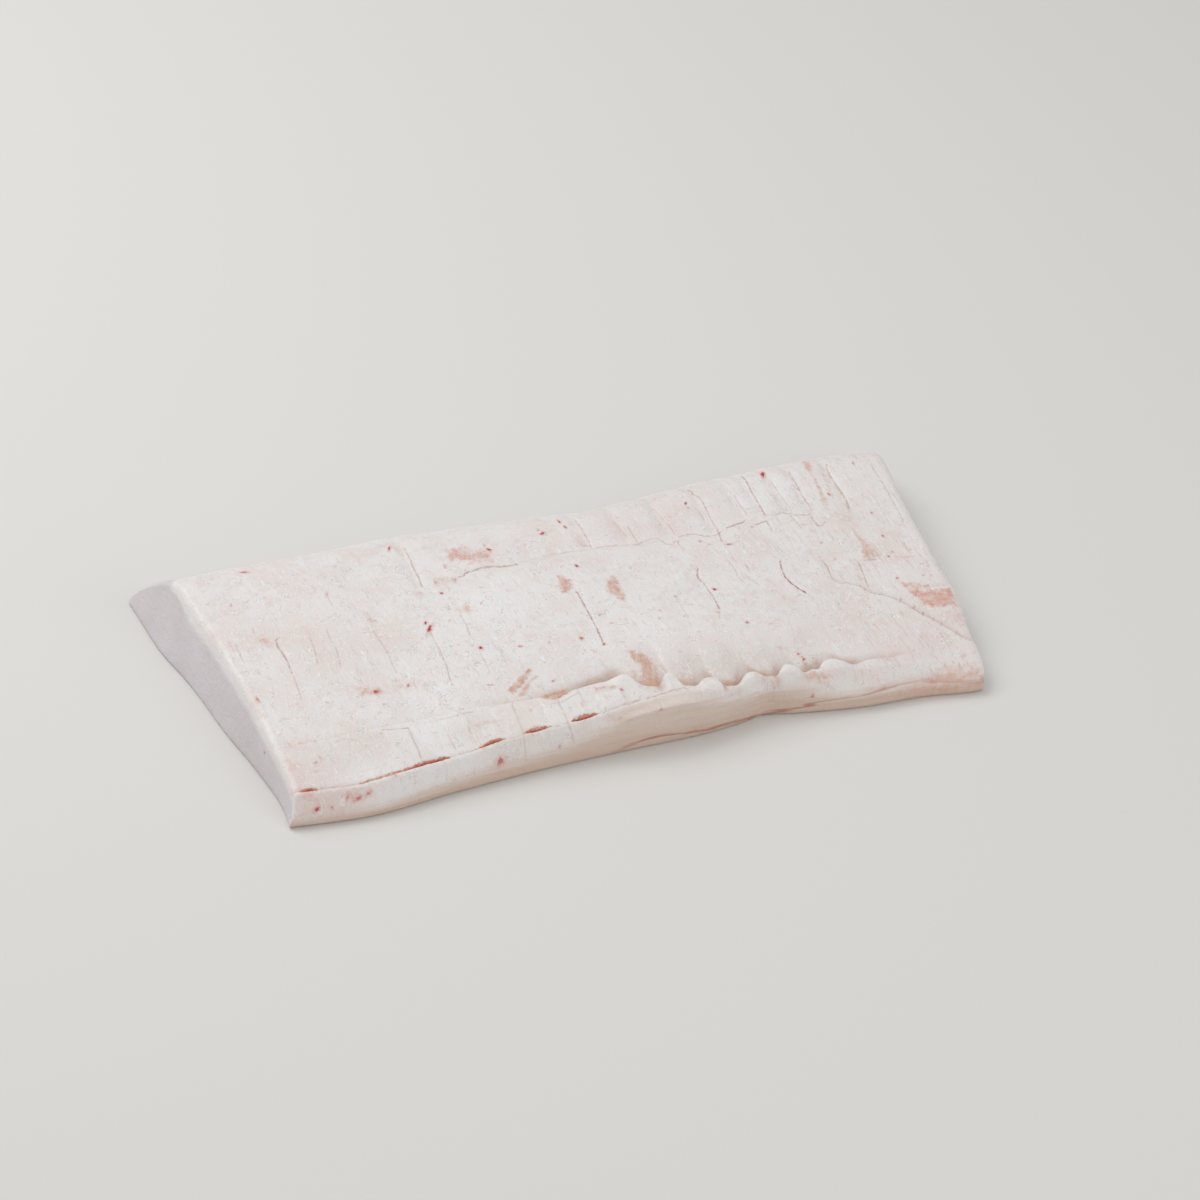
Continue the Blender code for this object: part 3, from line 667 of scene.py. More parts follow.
def section_height(x, y):
    """The top's height with the front and back edges rounded, but not the two cuts."""
    full = thickness(x, y)
    from_front = y - along(x, FRONT_EDGE)
    from_back = along(x, BACK_EDGE) - y
    relief = crest_relief(x, y) + seam_relief(x, y) + crack_relief(x, y) + uneven(x, y)
    relief = relief + slit_relief(x, y)
    inside = ease(from_front, (0.0, RELIEF_MARGIN_FRONT))
    inside = inside * ease(from_back, (0.0, RELIEF_MARGIN_BACK))
    front_reach = along(x, SLIT_PATH) - along(x, FRONT_EDGE)
    front_reach = front_reach + FRONT_REACHES_PAST * ease(x, FRONT_REACHES_FROM)
    front = 1.0 - along(x, FRONT_UPRIGHT) / full
    front = front * edge_fall(from_front, front_reach, FRONT_ROUNDNESS)
    back = (1.0 - BACK_UPRIGHT / full) * edge_fall(from_back, BACK_BEVEL, BACK_ROUNDNESS)
    return (full + relief * inside) * (1.0 - front) * (1.0 - back)


def line_at(name, x):
    """The y, at x, of one of the lines that the rows follow."""
    if name == "bevel":
        return along(x, BACK_EDGE) - BACK_BEVEL
    if name == "slit back":
        return along(x, SLIT_PATH) + crease_half_width(x)
    paths = {"front": FRONT_EDGE, "slit": SLIT_PATH, "crest": CREST_PATH, "seam": SEAM_PATH,
             "back": BACK_EDGE}
    return along(x, paths[name])


def row_plan():
    """Each row as (line before, its offset, line after, its offset, how far between them)."""
    plan = [("front", 0.0, "front", 0.0, 0.0)]
    before, before_offset = "front", 0.0
    for line, offset, steps, spacing in ROWS:
        for t in np.arange(1, steps + 1) / steps:
            if spacing == "both ends":
                t = 0.5 - 0.5 * np.cos(np.pi * t)
            elif spacing == "arc end":
                t = np.sin(0.5 * np.pi * t)
            plan.append((before, before_offset, line, offset, t))
        before, before_offset = line, offset
    return plan


def row_positions(x):
    """The y of every point, for x as an array of columns by rows."""
    y = np.empty_like(x)
    for row, (before, before_offset, after, after_offset, t) in enumerate(row_plan()):
        start = line_at(before, x[:, row]) + before_offset
        end = line_at(after, x[:, row]) + after_offset
        y[:, row] = start + (end - start) * t
    return y


def column_fractions():
    """Where the columns stand along the slab, from 0 to 1, closer together at the two cuts."""
    arc = 1.0 - np.cos(0.5 * np.pi * np.arange(END_COLUMNS + 1) / END_COLUMNS)
    left = arc * LEFT_ROUND / SLAB_LENGTH
    right = 1.0 - arc[::-1] * RIGHT_ROUND / SLAB_LENGTH
    middle = np.linspace(left[-1], right[0], COLUMNS - 2 * END_COLUMNS + 1)
    return np.concatenate([left[:-1], middle, right[1:]])


def top_sheet():
    """The points of the top, columns by rows by three, and their way in from the nearer cut."""
    fraction = column_fractions()[:, None]
    x = np.repeat(SLAB_LENGTH * (fraction - 0.5), len(row_plan()), axis=1)
    for _ in range(SETTLING_ROUNDS):
        y = row_positions(x)
        height = section_height(x, y) / thickness(x, y)
        left = along(y, LEFT_FOOT) * (1.0 - height) + along(y, LEFT_TOP) * height
        right = along(y, RIGHT_TOP) + RIGHT_FOOT_OUT * (1.0 - height)
        left, right = left[0], right[-1]
        x = left + (right - left) * fraction
    left_fall = LEFT_ROUND_FALL * edge_fall(x - left, LEFT_ROUND, CUT_ROUNDNESS)
    right_fall = RIGHT_ROUND_FALL * edge_fall(right - x, RIGHT_ROUND, CUT_ROUNDNESS)
    z = section_height(x, y) * (1.0 - left_fall) * (1.0 - right_fall)
    return np.stack([x, y, z], axis=-1), np.minimum(x - left, right - x)


sheet, from_cut = top_sheet()
sheet_x, sheet_y = sheet[..., 0], sheet[..., 1]
across_field = signed_line_field(sheet_x, sheet_y, CUTS_ACROSS)
along_field = signed_line_field(sheet_x, sheet_y, CUTS_ALONG)
open_half = opening_half_width(sheet_x)
slit_middle = along(sheet_x, SLIT_PATH) + OPENS_BACK * np.maximum(open_half, 0.0)
# How far each point is inside the slit's opening, in mm, and below 0 outside it.
gape_top = open_half - np.abs(sheet_y - slit_middle)
inland = ease(from_cut, (0.0, CUT_CALM))
sheet[..., 2] -= np.maximum(line_groove(across_field), line_groove(along_field)) * inland
sheet[..., 2] += (grain(sheet_x, sheet_y) - GRAIN_SUNK) * inland
print("grid:", sheet.shape[0], "columns by", sheet.shape[1], "rows")
print("closest rows:", round(float(np.diff(sheet_y, axis=1).min()), 2), "mm")

# %% [markdown]
# ## The sides
# Rings of points go down from the sheet's rim to the surface that the slab rests on, leaning as
# the two cuts lean, with a small round at the foot. One flat face closes the underside. A
# little of the same grain pushes the sides in and out, so that no edge is ruler straight.

# %% The sides
SIDE_RINGS = 12
SIDE_GRAIN = 0.5
SIDE_GRAIN_SQUEEZE = 1.5
SIDE_GRAIN_SUNK = 0.4
# The grain fades out this near to the rim, the foot and a corner.
RIM_CALM, FOOT_CALM, CORNER_CALM = 6.0, 8.0, 12.0


def rim_order(columns, rows):
    """The rim of the grid, once round, as (column, row, outward x, outward y)."""
    front = [(i, 0, 0, -1) for i in range(1, columns - 1)]
    right = [(columns - 1, j, 1, 0) for j in range(1, rows - 1)]
    back = [(i, rows - 1, 0, 1) for i in range(columns - 2, 0, -1)]
    left = [(0, j, -1, 0) for j in range(rows - 2, 0, -1)]
    corners = [(0, 0, -1, -1), (columns - 1, 0, 1, -1), (columns - 1, rows - 1, 1, 1),
               (0, rows - 1, -1, 1)]
    return np.array(
        [corners[0]] + front + [corners[1]] + right + [corners[2]] + back + [corners[3]] + left
    )


def side_rings(sheet):
    """Rings from the rim down: even steps, then a quarter round of two steps at the foot.

    At the foot each ring shrinks towards the middle, so that its corners don't fold over.
    """
    order = rim_order(*sheet.shape[:2])
    rim = sheet[order[:, 0], order[:, 1]]
    outward = order[:, 2:].astype(float)
    y = rim[:, 1]
    lean = np.where(outward[:, 0] < 0, along(y, LEFT_FOOT) - along(y, LEFT_TOP), 0.0)
    lean = np.where(outward[:, 0] > 0, RIGHT_FOOT_OUT, lean) / thickness(rim[:, 0], y)
    round_off = FOOT_ROUND * (1.0 - np.sqrt(0.5))
    steps = np.arange(1, SIDE_RINGS + 1) / SIDE_RINGS
    levels = [rim[:, 2] + (FOOT_ROUND - rim[:, 2]) * t for t in steps]
    levels += [np.full(len(rim), round_off), np.zeros(len(rim))]
    insets = [0.0] * SIDE_RINGS + [round_off, FOOT_ROUND]
    lowest, highest = rim[:, :2].min(axis=0), rim[:, :2].max(axis=0)
    from_middle = (2.0 * rim[:, :2] - lowest - highest) / (highest - lowest)
    way_round = np.where(outward[:, 0] != 0, rim[:, 1], rim[:, 0])
    ends = rim[outward[:, 0] * outward[:, 1] != 0.0]
    from_corner = np.min([np.hypot(*(rim[:, :2] - end[:2]).T) for end in ends], axis=0)
    rings = []
    for level, inset in zip(levels, insets):
        push = SIDE_GRAIN * (grain(way_round, level * SIDE_GRAIN_SQUEEZE) - SIDE_GRAIN_SUNK)
        push = push * ease(rim[:, 2] - level, (0.0, RIM_CALM)) * ease(level, (0.0, FOOT_CALM))
        push = push * ease(from_corner, (0.0, CORNER_CALM))
        ring = rim.copy()
        ring[:, 0] += lean * (rim[:, 2] - level) + push * outward[:, 0]
        ring[:, 1] += push * outward[:, 1]
        ring[:, :2] -= inset * from_middle
        ring[:, 2] = level
        rings.append(ring)
    return order, rings


order, rings = side_rings(sheet)
print(len(rings), "rings of", len(order), "points")

# %% [markdown]
# ## Spots of blood
# Each spot is an ellipse. A vertex stores where it lies in the ellipse of the nearest spot, as
# (along, across) in units of the spot's own half sizes, so the material only has to
# measure a length. As with the lines, the strength fades where a second spot is close.

# %% Spots of blood
# Each spot as (x, y, half length, half width, direction in degrees, strength), in mm.
SPOTS = (
    (-104.9, 4.5, 1.6, 1.2, 60, 1.0), (-104.5, -1.5, 4.8, 1.6, 55, 1.0),
    (-228.7, -33, 2.6, 0.9, 95, 0.7), (-213.5, -91.3, 1.6, 1.1, 30, 0.55),
    (-209.5, -88, 2.2, 0.8, 110, 0.4), (-216, -98, 1.4, 1, 0, 0.3),
    (-238, -106.5, 2.4, 1.2, 10, 1.0), (-222.5, -118, 2.6, 1, 5, 0.9),
    (-213.5, -119.2, 1.3, 0.7, -20, 0.6), (-203, -117, 2.2, 0.9, 40, 0.6),
    (-196, -118.3, 3.4, 1.1, 8, 0.75), (-190.5, -117.6, 2.4, 0.8, 12, 0.7),
    (-157.5, -46, 2.4, 1.9, 0, 0.9), (-136.3, -45.8, 1.8, 1.1, 50, 0.75),
    (-171, -112.8, 1.2, 0.8, 20, 0.5), (-167, -79.5, 1.2, 1, 30, 0.35),
    (-192.7, 87, 3, 1.5, -25, 0.9), (-212.3, 57, 1.8, 0.8, 70, 0.5),
    (-229.5, 6, 1.2, 0.8, 45, 0.35), (-136.5, 76, 1.2, 1, 0, 0.3), (-152.8, 48, 3.4, 1, 65, 0.45),
    (-81, -27, 1.9, 1.5, 70, 1.0), (-85.3, -23.5, 1.3, 1, 0, 0.4), (-93.5, -21, 1.1, 0.9, 0, 0.3),
    (-57.2, -33, 1.5, 1, -20, 0.75), (-38.7, -34.7, 1.7, 1, 60, 0.4),
    (-18, -37, 1.8, 1.3, 100, 0.8), (-6.8, -46.3, 1.4, 1.1, 20, 0.8),
    (-15, -49.5, 2.8, 0.6, -45, 0.4), (-89, -60.3, 2.4, 0.8, -15, 0.55),
    (-49, -65.8, 1.6, 0.8, 25, 0.7), (-42.5, -94, 1.6, 0.9, 80, 0.45),
    (-50.5, -94, 1.4, 0.6, 10, 0.3), (-73.5, -88, 1, 0.9, 0, 0.45),
    (-14, -89.2, 1.2, 1.2, 0, 0.9), (-23.5, -108.8, 1.4, 0.6, 10, 0.4),
    (-63.5, -111, 1.2, 0.5, 0, 0.5), (-103, -112.5, 3, 1.4, 15, 0.80),
    (2.8, -18, 1.1, 1.1, 0, 0.55), (6.5, -28.5, 1.2, 0.9, 0, 0.5),
    (36.8, -32.5, 1.2, 1, 60, 0.45), (36, -66, 1.2, 0.9, 0, 0.3), (75.3, -37.8, 1.2, 1, 60, 0.45),
    (84, -14, 1.5, 1.4, 0, 1.0), (89.3, -50.8, 1.5, 1.2, 20, 0.8), (97, -31, 1.8, 1.2, 90, 0.25),
    (101, -75, 1.8, 1.1, -40, 0.3), (110.7, -81.7, 1.5, 0.9, 15, 0.75),
    (112.4, -85.7, 1.3, 1.2, 0, 0.95), (111.5, -90, 2.0, 0.8, 75, 0.4),
    (5.5, -95.8, 1, 0.8, 0, 0.4), (49, -103, 2.2, 1.4, 90, 0.45),
    (107.5, -110.2, 1.8, 0.6, 0, 0.7), (101.5, -113.5, 0.9, 0.9, 0, 0.5),
    (2.5, -112.0, 1.7, 1, 60, 0.9), (173.5, -4.5, 1.6, 0.7, 35, 0.45),
    (208.8, -11.5, 1.2, 1.1, 0, 0.65), (213.2, -8.3, 1.1, 1, 0, 0.45),
    (225.3, -10, 0.9, 0.9, 0, 0.45), (204.5, -32.5, 1.1, 0.9, 0, 0.8),
    (222.2, -35, 1.3, 0.8, 20, 0.6), (226.9, -36, 1, 1.2, 0, 0.35),
    (228.5, -27.5, 1.2, 0.9, 0, 0.3), (121, -15, 1.6, 1, 90, 0.25), (-83.7, 30, 1.4, 1.4, 0, 0.9),
    (-37.5, 64, 2.2, 1.4, 120, 1.0), (-38.2, 69, 2.4, 0.9, 80, 0.5),
    (-64.5, 12, 1, 0.7, 60, 0.55), (-22.8, 6.2, 0.8, 0.8, 0, 0.45),
    (9.6, 32.8, 1.9, 1.2, 90, 0.95), (3.5, 72.5, 2.2, 1.4, 30, 1.0),
    (2.2, 76.8, 1.2, 0.9, 90, 0.7), (19.5, 82.5, 3.0, 1.1, 85, 0.9),
    (20.2, 75, 2.4, 1.0, 90, 0.8), (105.8, 76, 1.9, 1.0, 60, 0.95),
    (105.4, 72, 1.4, 1.0, 90, 0.45), (90, 66, 1.3, 1.1, 90, 0.3), (97.3, 35.8, 1.3, 1.2, 0, 0.6),
    (101.5, 30.5, 1.3, 0.9, 0, 0.35), (113.5, 26.3, 2.6, 1, -15, 0.75),
    (142, 58.5, 1.1, 1, 0, 0.35), (172.6, 12.8, 1.3, 0.9, 20, 0.65),
    (213.9, 7.2, 1.3, 1.0, 90, 0.75), (218.8, 32.3, 1.4, 1.1, 60, 0.65),
    (201.8, 60.5, 1.8, 0.9, 90, 0.85), (185, 53, 2.0, 1.2, 90, 0.3),
    (233.2, 88, 2.0, 0.9, 75, 0.7), (171.0, 95.5, 5.5, 1.5, 68, 1.25),
    (-12.5, 63.5, 1.6, 1.0, 80, 0.35), (-71, 55, 2.0, 1, 80, 0.5), (-89.8, 2, 1.2, 0.8, 60, 0.4),
    (-70.5, 39.8, 2.2, 1, 60, 0.5), (-82.7, 42.5, 2.0, 1.1, 90, 0.5),
    (-96.5, 84.5, 3, 1, 60, 0.9),
)
SPOT_SHOWN_TO = 3.0
SPOT_HELD_AT = 4.0
# A spot is at full strength where the second one is 1.8 mm further off, and gone at 0.3 mm.
SPOTS_APART, SPOTS_CLASH = 1.5, 0.2


def spot_field(x, y, spots):
    """For each point (along, across, strength) in the nearest spot's own units."""
    best = np.full(x.shape, FAR)
    second = np.full(x.shape, FAR)
    field = np.zeros(x.shape + (3,))
    for sx, sy, half_length, half_width, direction, strength in spots:
        c, s = np.cos(np.radians(direction)), np.sin(np.radians(direction))
        dx, dy = x - sx, y - sy
        u = (dx * c + dy * s) / half_length
        v = (dy * c - dx * s) / half_width
        distance = np.hypot(u, v) * 0.5 * (half_length + half_width)
        closer = distance < best
        second = np.where(closer, best, np.minimum(second, distance))
        entry = np.stack([u, v, np.full(x.shape, strength)], axis=-1)
        field = np.where(closer[..., None], entry, field)
        best = np.minimum(best, distance)
    alone = np.clip((second - best) / SPOTS_APART - SPOTS_CLASH, 0.0, 1.0)
    size = np.hypot(field[..., 0], field[..., 1])
    field[..., 2] *= alone * (size < SPOT_SHOWN_TO)
    field[..., :2] = np.clip(field[..., :2], -SPOT_HELD_AT, SPOT_HELD_AT)
    return field


spots_top = spot_field(sheet_x, sheet_y, SPOTS)
print(len(SPOTS), "spots")

# %% [markdown]
# ## Films of meat
# Where the knife left a little muscle on the fat there is a film, pink where it is fresh and tan
# where it has dried, streaked along its fibres. Some tan films are painted shade instead: those
# in the crest's bays, one behind a tile's step and a grey one in the middle; those at the tile
# steps are partly film and partly painted shade. Each film is a polygon with a soft edge. A
# vertex stores its signed distance to the nearest film's edge, above 0 inside and in units of
# that edge's softness, and a second pair of numbers that runs across and along the fibres.

# %% Films of meat
# Each film as (tan, from 0 pink to 1; strength; softness of its edge in mm; fibre direction in
# degrees; corners).
FILMS_AND_PAINTED_SHADE = (
    (0.15, 0.75, 3.0, 72, ((-65, 70), (-60, 73), (-52, 71), (-46, 66), (-40, 66), (-38, 58),
                           (-42, 51), (-50, 52), (-56, 55), (-62, 58), (-67, 63))),
    (0.10, 0.50, 2.0, 0, ((-84, 46), (-79, 45), (-71, 42.5), (-68, 40), (-71, 38), (-76, 41),
                          (-84, 40))),
    (0.30, 0.85, 0.8, 75, ((-6.3, 28.5), (-2.5, 24.5), (-0.2, 20), (-1.8, 13.5), (-3, 9.5),
                           (-11.5, 7.5), (-10.5, 13), (-8, 22))),
    (0.40, 0.80, 1.2, 86, ((25, 16.5), (29, 13), (26.5, 3), (26, -6), (23.5, -13), (19.5, -6),
                           (17, 0), (18, 8))),
    (0.65, 0.80, 1.2, 80, ((3.8, -54.5), (8.5, -57), (14.5, -60.5), (17, -70), (16, -78),
                           (14.2, -86), (11.5, -89.5), (7.5, -89.5), (2.5, -86.5), (1.2, -80),
                           (4.8, -75.5), (7.5, -70), (4.9, -61.7))),
    (0.35, 0.60, 2.0, 80, ((-82, 12), (-79, 15), (-72, 14), (-70.5, 9), (-74, 5), (-80, 6.5))),
    (0.25, 0.55, 1.5, 85, ((-208, 19.5), (-204, 20.5), (-202.5, 14), (-203, 7.5), (-206, 9),
                           (-209, 15))),
    (0.60, 0.40, 1.0, 85, ((-228.5, 21), (-226.5, 21), (-225.3, 12), (-227.5, 10.5))),
    (0.75, 0.55, 1.0, 60, ((-139, 25), (-136.5, 25.5), (-135.5, 19.5), (-131.5, 14.5),
                           (-133.5, 13.5), (-137.5, 16), (-139, 20))),
    (0.25, 0.70, 2.0, 0, ((-167, -40), (-162, -41), (-154, -43), (-152, -48), (-158, -50),
                          (-163, -47), (-167, -46))),
    (0.15, 0.30, 3.0, 0, ((-150, -42), (-140, -42), (-126, -44), (-122, -48), (-128, -52),
                          (-148, -50))),
    (0.45, 0.80, 0.5, 38, ((-81, -67), (-73, -61.5), (-64.5, -55.5), (-60, -52), (-58.5, -54.5),
                           (-63.5, -60.5), (-71, -66.5), (-78, -71.5))),
    (0.65, 0.60, 0.6, 35, ((-77, -73.5), (-68.5, -66), (-60, -59), (-56, -60), (-64, -65),
                           (-71, -74.5))),
    # This film and the next two, at the tile steps, are partly tan film and partly painted shade.
    (0.75, 0.95, 0.8, 70, ((-64.5, -81.5), (-62, -76), (-57.5, -75), (-43, -74.5), (-42, -77.5),
                           (-46, -81), (-51.5, -84), (-56, -84), (-60, -82))),
    (0.85, 0.70, 2.5, 0, ((-33, -75), (-24, -71), (-12, -70), (-6, -72), (-9, -76),
                          (-28, -77.5))),
    (0.70, 0.80, 0.8, 0, ((-31, -86.5), (-29.5, -82), (-22, -82.5), (-16, -85), (-17.5, -87.5),
                          (-21, -85.5), (-27, -86))),
    (0.70, 0.70, 1.2, 80, ((-3, -84), (-1, -76), (1.5, -71), (3, -74), (1.5, -80), (-1, -85))),
    # This film and the next two are painted shade behind the crest's bays, tinted tan.
    (0.95, 0.40, 2.5, 60, ((22, -88), (26, -83), (30, -80), (33, -84), (38, -92), (44, -98.5),
                           (36, -98.5), (27, -97.5), (24, -92))),
    (0.80, 0.60, 1.0, 80, ((31, -75), (33.5, -76.5), (34.5, -79), (32, -79))),
    (0.85, 0.60, 2.0, 20, ((48, -103), (58, -102.5), (63, -99.5), (56, -94), (47, -96.5))),
    (0.05, 0.70, 1.5, 80, ((47, -100.5), (50, -99), (51, -104), (47.5, -106.5))),
    (0.10, 0.55, 1.5, 0, ((81.5, -102.3), (84, -100.6), (88.3, -100.6), (88.3, -103.6),
                          (82, -104))),
    # This film and the next three are painted shade behind more bays, tinted tan.
    (0.85, 0.50, 2.0, 10, ((70, -99.5), (76, -95), (84, -95), (91, -97), (86, -100.5),
                           (76, -100.5))),
    (0.70, 0.50, 1.5, 0, ((105, -98), (109, -95), (114, -96), (118, -98.5), (110, -99.5))),
    (0.90, 0.40, 2.0, -20, ((135, -97), (137, -94), (143, -97), (146, -100), (138, -99))),
    (0.90, 0.30, 2.0, -10, ((158, -98), (162, -96.5), (170, -99), (164, -100.5))),
    (0.10, 0.90, 1.0, -8, ((207, -43), (214, -46), (224, -48), (234, -49), (234, -56),
                           (231, -66.5), (222, -64.5), (213, -61), (209, -52))),
    (0.70, 0.70, 1.0, -20, ((204, -34), (210, -38), (220, -43.5), (233, -46), (224, -47),
                            (213, -45), (206, -41))),
    (0.50, 0.30, 2.0, -10, ((214, -66), (232, -70), (231, -82), (222, -80))),
    (0.60, 0.65, 1.5, 86, ((198.5, 17), (201, 8), (202.5, 0), (203.5, -9.5), (194, -10.5),
                           (192, -8), (194.5, 0), (197, 8))),
    (0.60, 0.65, 1.5, -12, ((108, -97.5), (110.3, -99.8), (117.6, -101.3), (124, -104.3),
                            (120, -106.3), (113.3, -106.5), (107.2, -104.2))),
    (0.25, 0.55, 2.5, 6, ((165, -117), (180, -115), (193, -111.5), (206, -110), (212, -112.5),
                          (222, -113), (224, -118), (222, -124), (205, -122), (185, -120))),
    (0.15, 0.50, 1.0, 4, ((208, -105.5), (218, -103.5), (225, -103.5), (225, -105.5),
                          (214, -106.5))),
    (0.40, 0.15, 3.0, 8, ((-237, -115), (-229, -113), (-215, -116), (-200, -118.5),
                          (-188, -120), (-188, -123.5), (-205, -122.5), (-222, -121.5),
                          (-236, -119.5))),
    (0.05, 0.55, 1.5, 12, ((-206, -116), (-198, -114.5), (-188, -116.5), (-187, -119),
                           (-196, -120.5), (-204, -119))),
    (0.05, 0.40, 1.2, 30, ((-236, -106), (-230, -105), (-224, -110), (-219, -116), (-226, -117),
                           (-231, -112))),
    (0.35, 0.75, 1.0, 72, ((204, 106), (209, 106), (204.5, 92), (201.8, 86), (199, 89),
                           (201.5, 97))),
    (0.65, 0.60, 0.8, 80, ((201.0, 85), (201.5, 80), (200.5, 70), (198, 58), (195, 48),
                           (193, 46), (194.5, 58), (197.5, 70), (199.5, 82))),
    (0.70, 0.50, 0.8, 78, ((208.5, 84), (209, 80), (206.5, 66), (203, 56), (201.5, 58),
                           (204.5, 68), (206.5, 78))),
    (0.90, 0.22, 5.0, 80, ((195, 38), (205, 40), (203, 20), (196, 24))),
    (0.70, 0.25, 2.0, 85, ((19, 50), (21, 62), (25, 62), (26, 52))),
    (0.70, 0.20, 2.0, 85, ((44, 48), (45, 65), (47.5, 66), (47, 50))),
    (0.50, 0.30, 2.0, 84, ((-233, -35), (-230, -22), (-228, -34), (-230, -48), (-233, -44))),
    (0.40, 0.40, 2.0, 0, ((-226, -71), (-213, -71.5), (-208, -74), (-216, -77), (-224, -76))),
    (0.30, 0.30, 2.5, 70, ((-237, -80), (-228, -84), (-223, -92), (-226, -104), (-230, -100),
                           (-232, -88))),
    (0.65, 0.35, 2.0, 10, ((-114, -91), (-108, -88), (-98, -87), (-92, -90), (-100, -92),
                           (-112, -93))),
    # Painted shade behind a tile's step.
    (0.85, 0.25, 3.0, 0, ((-96, -78), (-94, -74), (-82, -73.5), (-81, -78))),
    # Painted grey shade.
    (1.00, 0.22, 2.0, 0, ((-117, 11), (-108, 13), (-97, 11.5), (-102, 8), (-105, 5.5),
                          (-110, 9))),
    (0.50, 0.30, 1.5, 84, ((183, -8), (186, -9), (184, -26), (181, -36), (180, -28))),
    (0.40, 0.30, 1.2, 60, ((-101, 38), (-97, 36), (-93, 35), (-98, 26), (-99, 30))),
    (0.80, 0.20, 2.0, 0, ((-80, 80), (-76, 82), (-70, 80), (-71, 75), (-78, 76))),
)
FILM_REACH = 4.0
FILM_HELD_AT = 4.0


def film_field(x, y, films):
    """For each point (depth inside, tan, strength) of the nearest film, and its fibre plane.

    The depth is the distance to the polygon's nearest side, above 0 where the point is inside:
    a point is inside when a line from it crosses the sides an odd number of times.
    """
    best = np.full(x.shape, -FAR)
    film = np.zeros(x.shape + (3,))
    fibre = np.zeros(x.shape + (3,))
    for tan, strength, softness, direction, corners in films:
        nearest = np.full(x.shape, FAR)
        inside = np.zeros(x.shape, bool)
        for (x0, y0), (x1, y1) in zip(corners, corners[1:] + corners[:1]):
            length_squared = (x1 - x0) ** 2 + (y1 - y0) ** 2
            t = np.clip(((x - x0) * (x1 - x0) + (y - y0) * (y1 - y0)) / length_squared, 0.0, 1.0)
            nearest = np.minimum(nearest, np.hypot(x - x0 - t * (x1 - x0), y - y0 - t * (y1 - y0)))
            if y0 != y1:
                crosses = (y0 > y) != (y1 > y)
                inside ^= crosses & (x < x0 + (x1 - x0) * (y - y0) / (y1 - y0))
        depth = np.where(inside, nearest, -nearest)
        c, s = np.cos(np.radians(direction)), np.sin(np.radians(direction))
        closer = depth > best
        entry = np.stack([depth / softness, np.full(x.shape, tan), np.full(x.shape, strength)], -1)
        film = np.where(closer[..., None], entry, film)
        plane = np.stack([y * c - x * s, x * c + y * s, np.zeros_like(x)], -1)
        fibre = np.where(closer[..., None], plane, fibre)
        best = np.maximum(best, depth)
    film[..., 2] *= best > -FILM_REACH
    film[..., 0] = np.clip(film[..., 0], -FILM_HELD_AT, FILM_HELD_AT)
    return film, fibre


films_top, fibres_top = film_field(sheet_x, sheet_y, FILMS_AND_PAINTED_SHADE)
print(len(FILMS_AND_PAINTED_SHADE), "films")

# %% [markdown]
# ## Broad colour and the sides
# Fat is never one white. Blood has soaked in near the cuts, and other stretches are creamier
# or whiter; the cream in the hollow behind the crest is painted shade. A few wide soft humps give
# each vertex its share. The sides get three numbers of their own: the depth below a cut's upper
# edge, the depth below the upper limit of the darker outer fat, and the height above the thin
# brown membrane that runs along the front side.

# %% Broad colour and the sides
# Each hump as (x, y, reach along, reach across, weight), in mm.
PINK_HUMPS = (
    (-222, -98, 20, 20, 0.6), (190, -88, 42, 20, 0.45), (-190, 20, 34, 26, 0.25),
    (150, -62, 34, 24, 0.25), (60, 62, 70, 26, 0.28), (222, 50, 26, 46, 0.15),
    (-170, -10, 40, 24, 0.25), (-212, -117, 30, 8, 0.8), (-104, -112, 12, 5, 0.4),
    (210, -60, 20, 26, 0.25), (48, -62, 40, 15, 0.35), (212, -18, 24, 16, 0.30),
)
CREAM_AND_SHADE_HUMPS = (
    # The first two cream humps lie in the hollow behind the crest and are painted shade.
    (60, -84, 44, 12, 0.75), (-20, -76, 46, 9, 0.55), (-185, -88, 30, 14, 0.35),
    (15, -100, 20, 8, 0.4), (95, -103, 62, 7, 0.55), (-60, -110, 60, 5, 0.3),
    (198, 24, 14, 24, 0.4), (-95, -92, 30, 12, 0.25),
)
WHITE_HUMPS = (
    (-125, -60, 34, 24, 0.5), (-55, 18, 34, 22, 0.6), (-140, -90, 14, 14, 0.4),
    (25, -35, 34, 22, 0.4), (205, -22, 20, 16, 0.10), (170, 76, 34, 24, 0.45),
    (-64, -8, 30, 20, 0.35), (-40, -50, 50, 14, 0.3), (75, -104, 16, 4, 0.2),
    (-150, -109, 60, 4, 0.3),
)
MEMBRANE_LINE = (
    (-60, -2.0), (-36, 0.0), (-15, 4.0), (0, 6.5), (35, 4.0), (54, 3.0), (77, 1.5), (98, 5.0),
    (120, 9.0), (140, 10.0), (155, 12.0), (172, 11.5), (200, 10.0), (226, 8.0),
)
# Below this height the front side is in the darker outer fat, as (x, height).
OUTER_FAT = (
    (-250, 5.0), (-200, 5.5), (-141, 8.5), (-113, 10.6), (-79, 11.6), (-58, 14.0), (-50, 15.5),
    (-35, 21.0), (-22, 27.0), (-8, 30.5), (10, 30.2), (28, 28.5), (40, 25.5), (51, 22.0),
    (63, 20.3), (87, 19.5), (102, 17.5), (115, 13.5), (130, 11.0), (155, 12.0), (172, 11.5),
    (226, 8.0),
)
# The outer fat and the membrane are kept this far off, in mm, behind the slit.
KEPT_OFF = 30.0
FRONT_STARTS = (0.0, 2.0)
FACE_REACH = 10.0
# At the back of the left cut the smooth face runs on over the round of the back edge.
FACE_BACK_DEPTH = 16.0
FACE_BACK_FROM = (84.0, 106.0)
FACE_BACK_REACH = (6.0, 36.0)


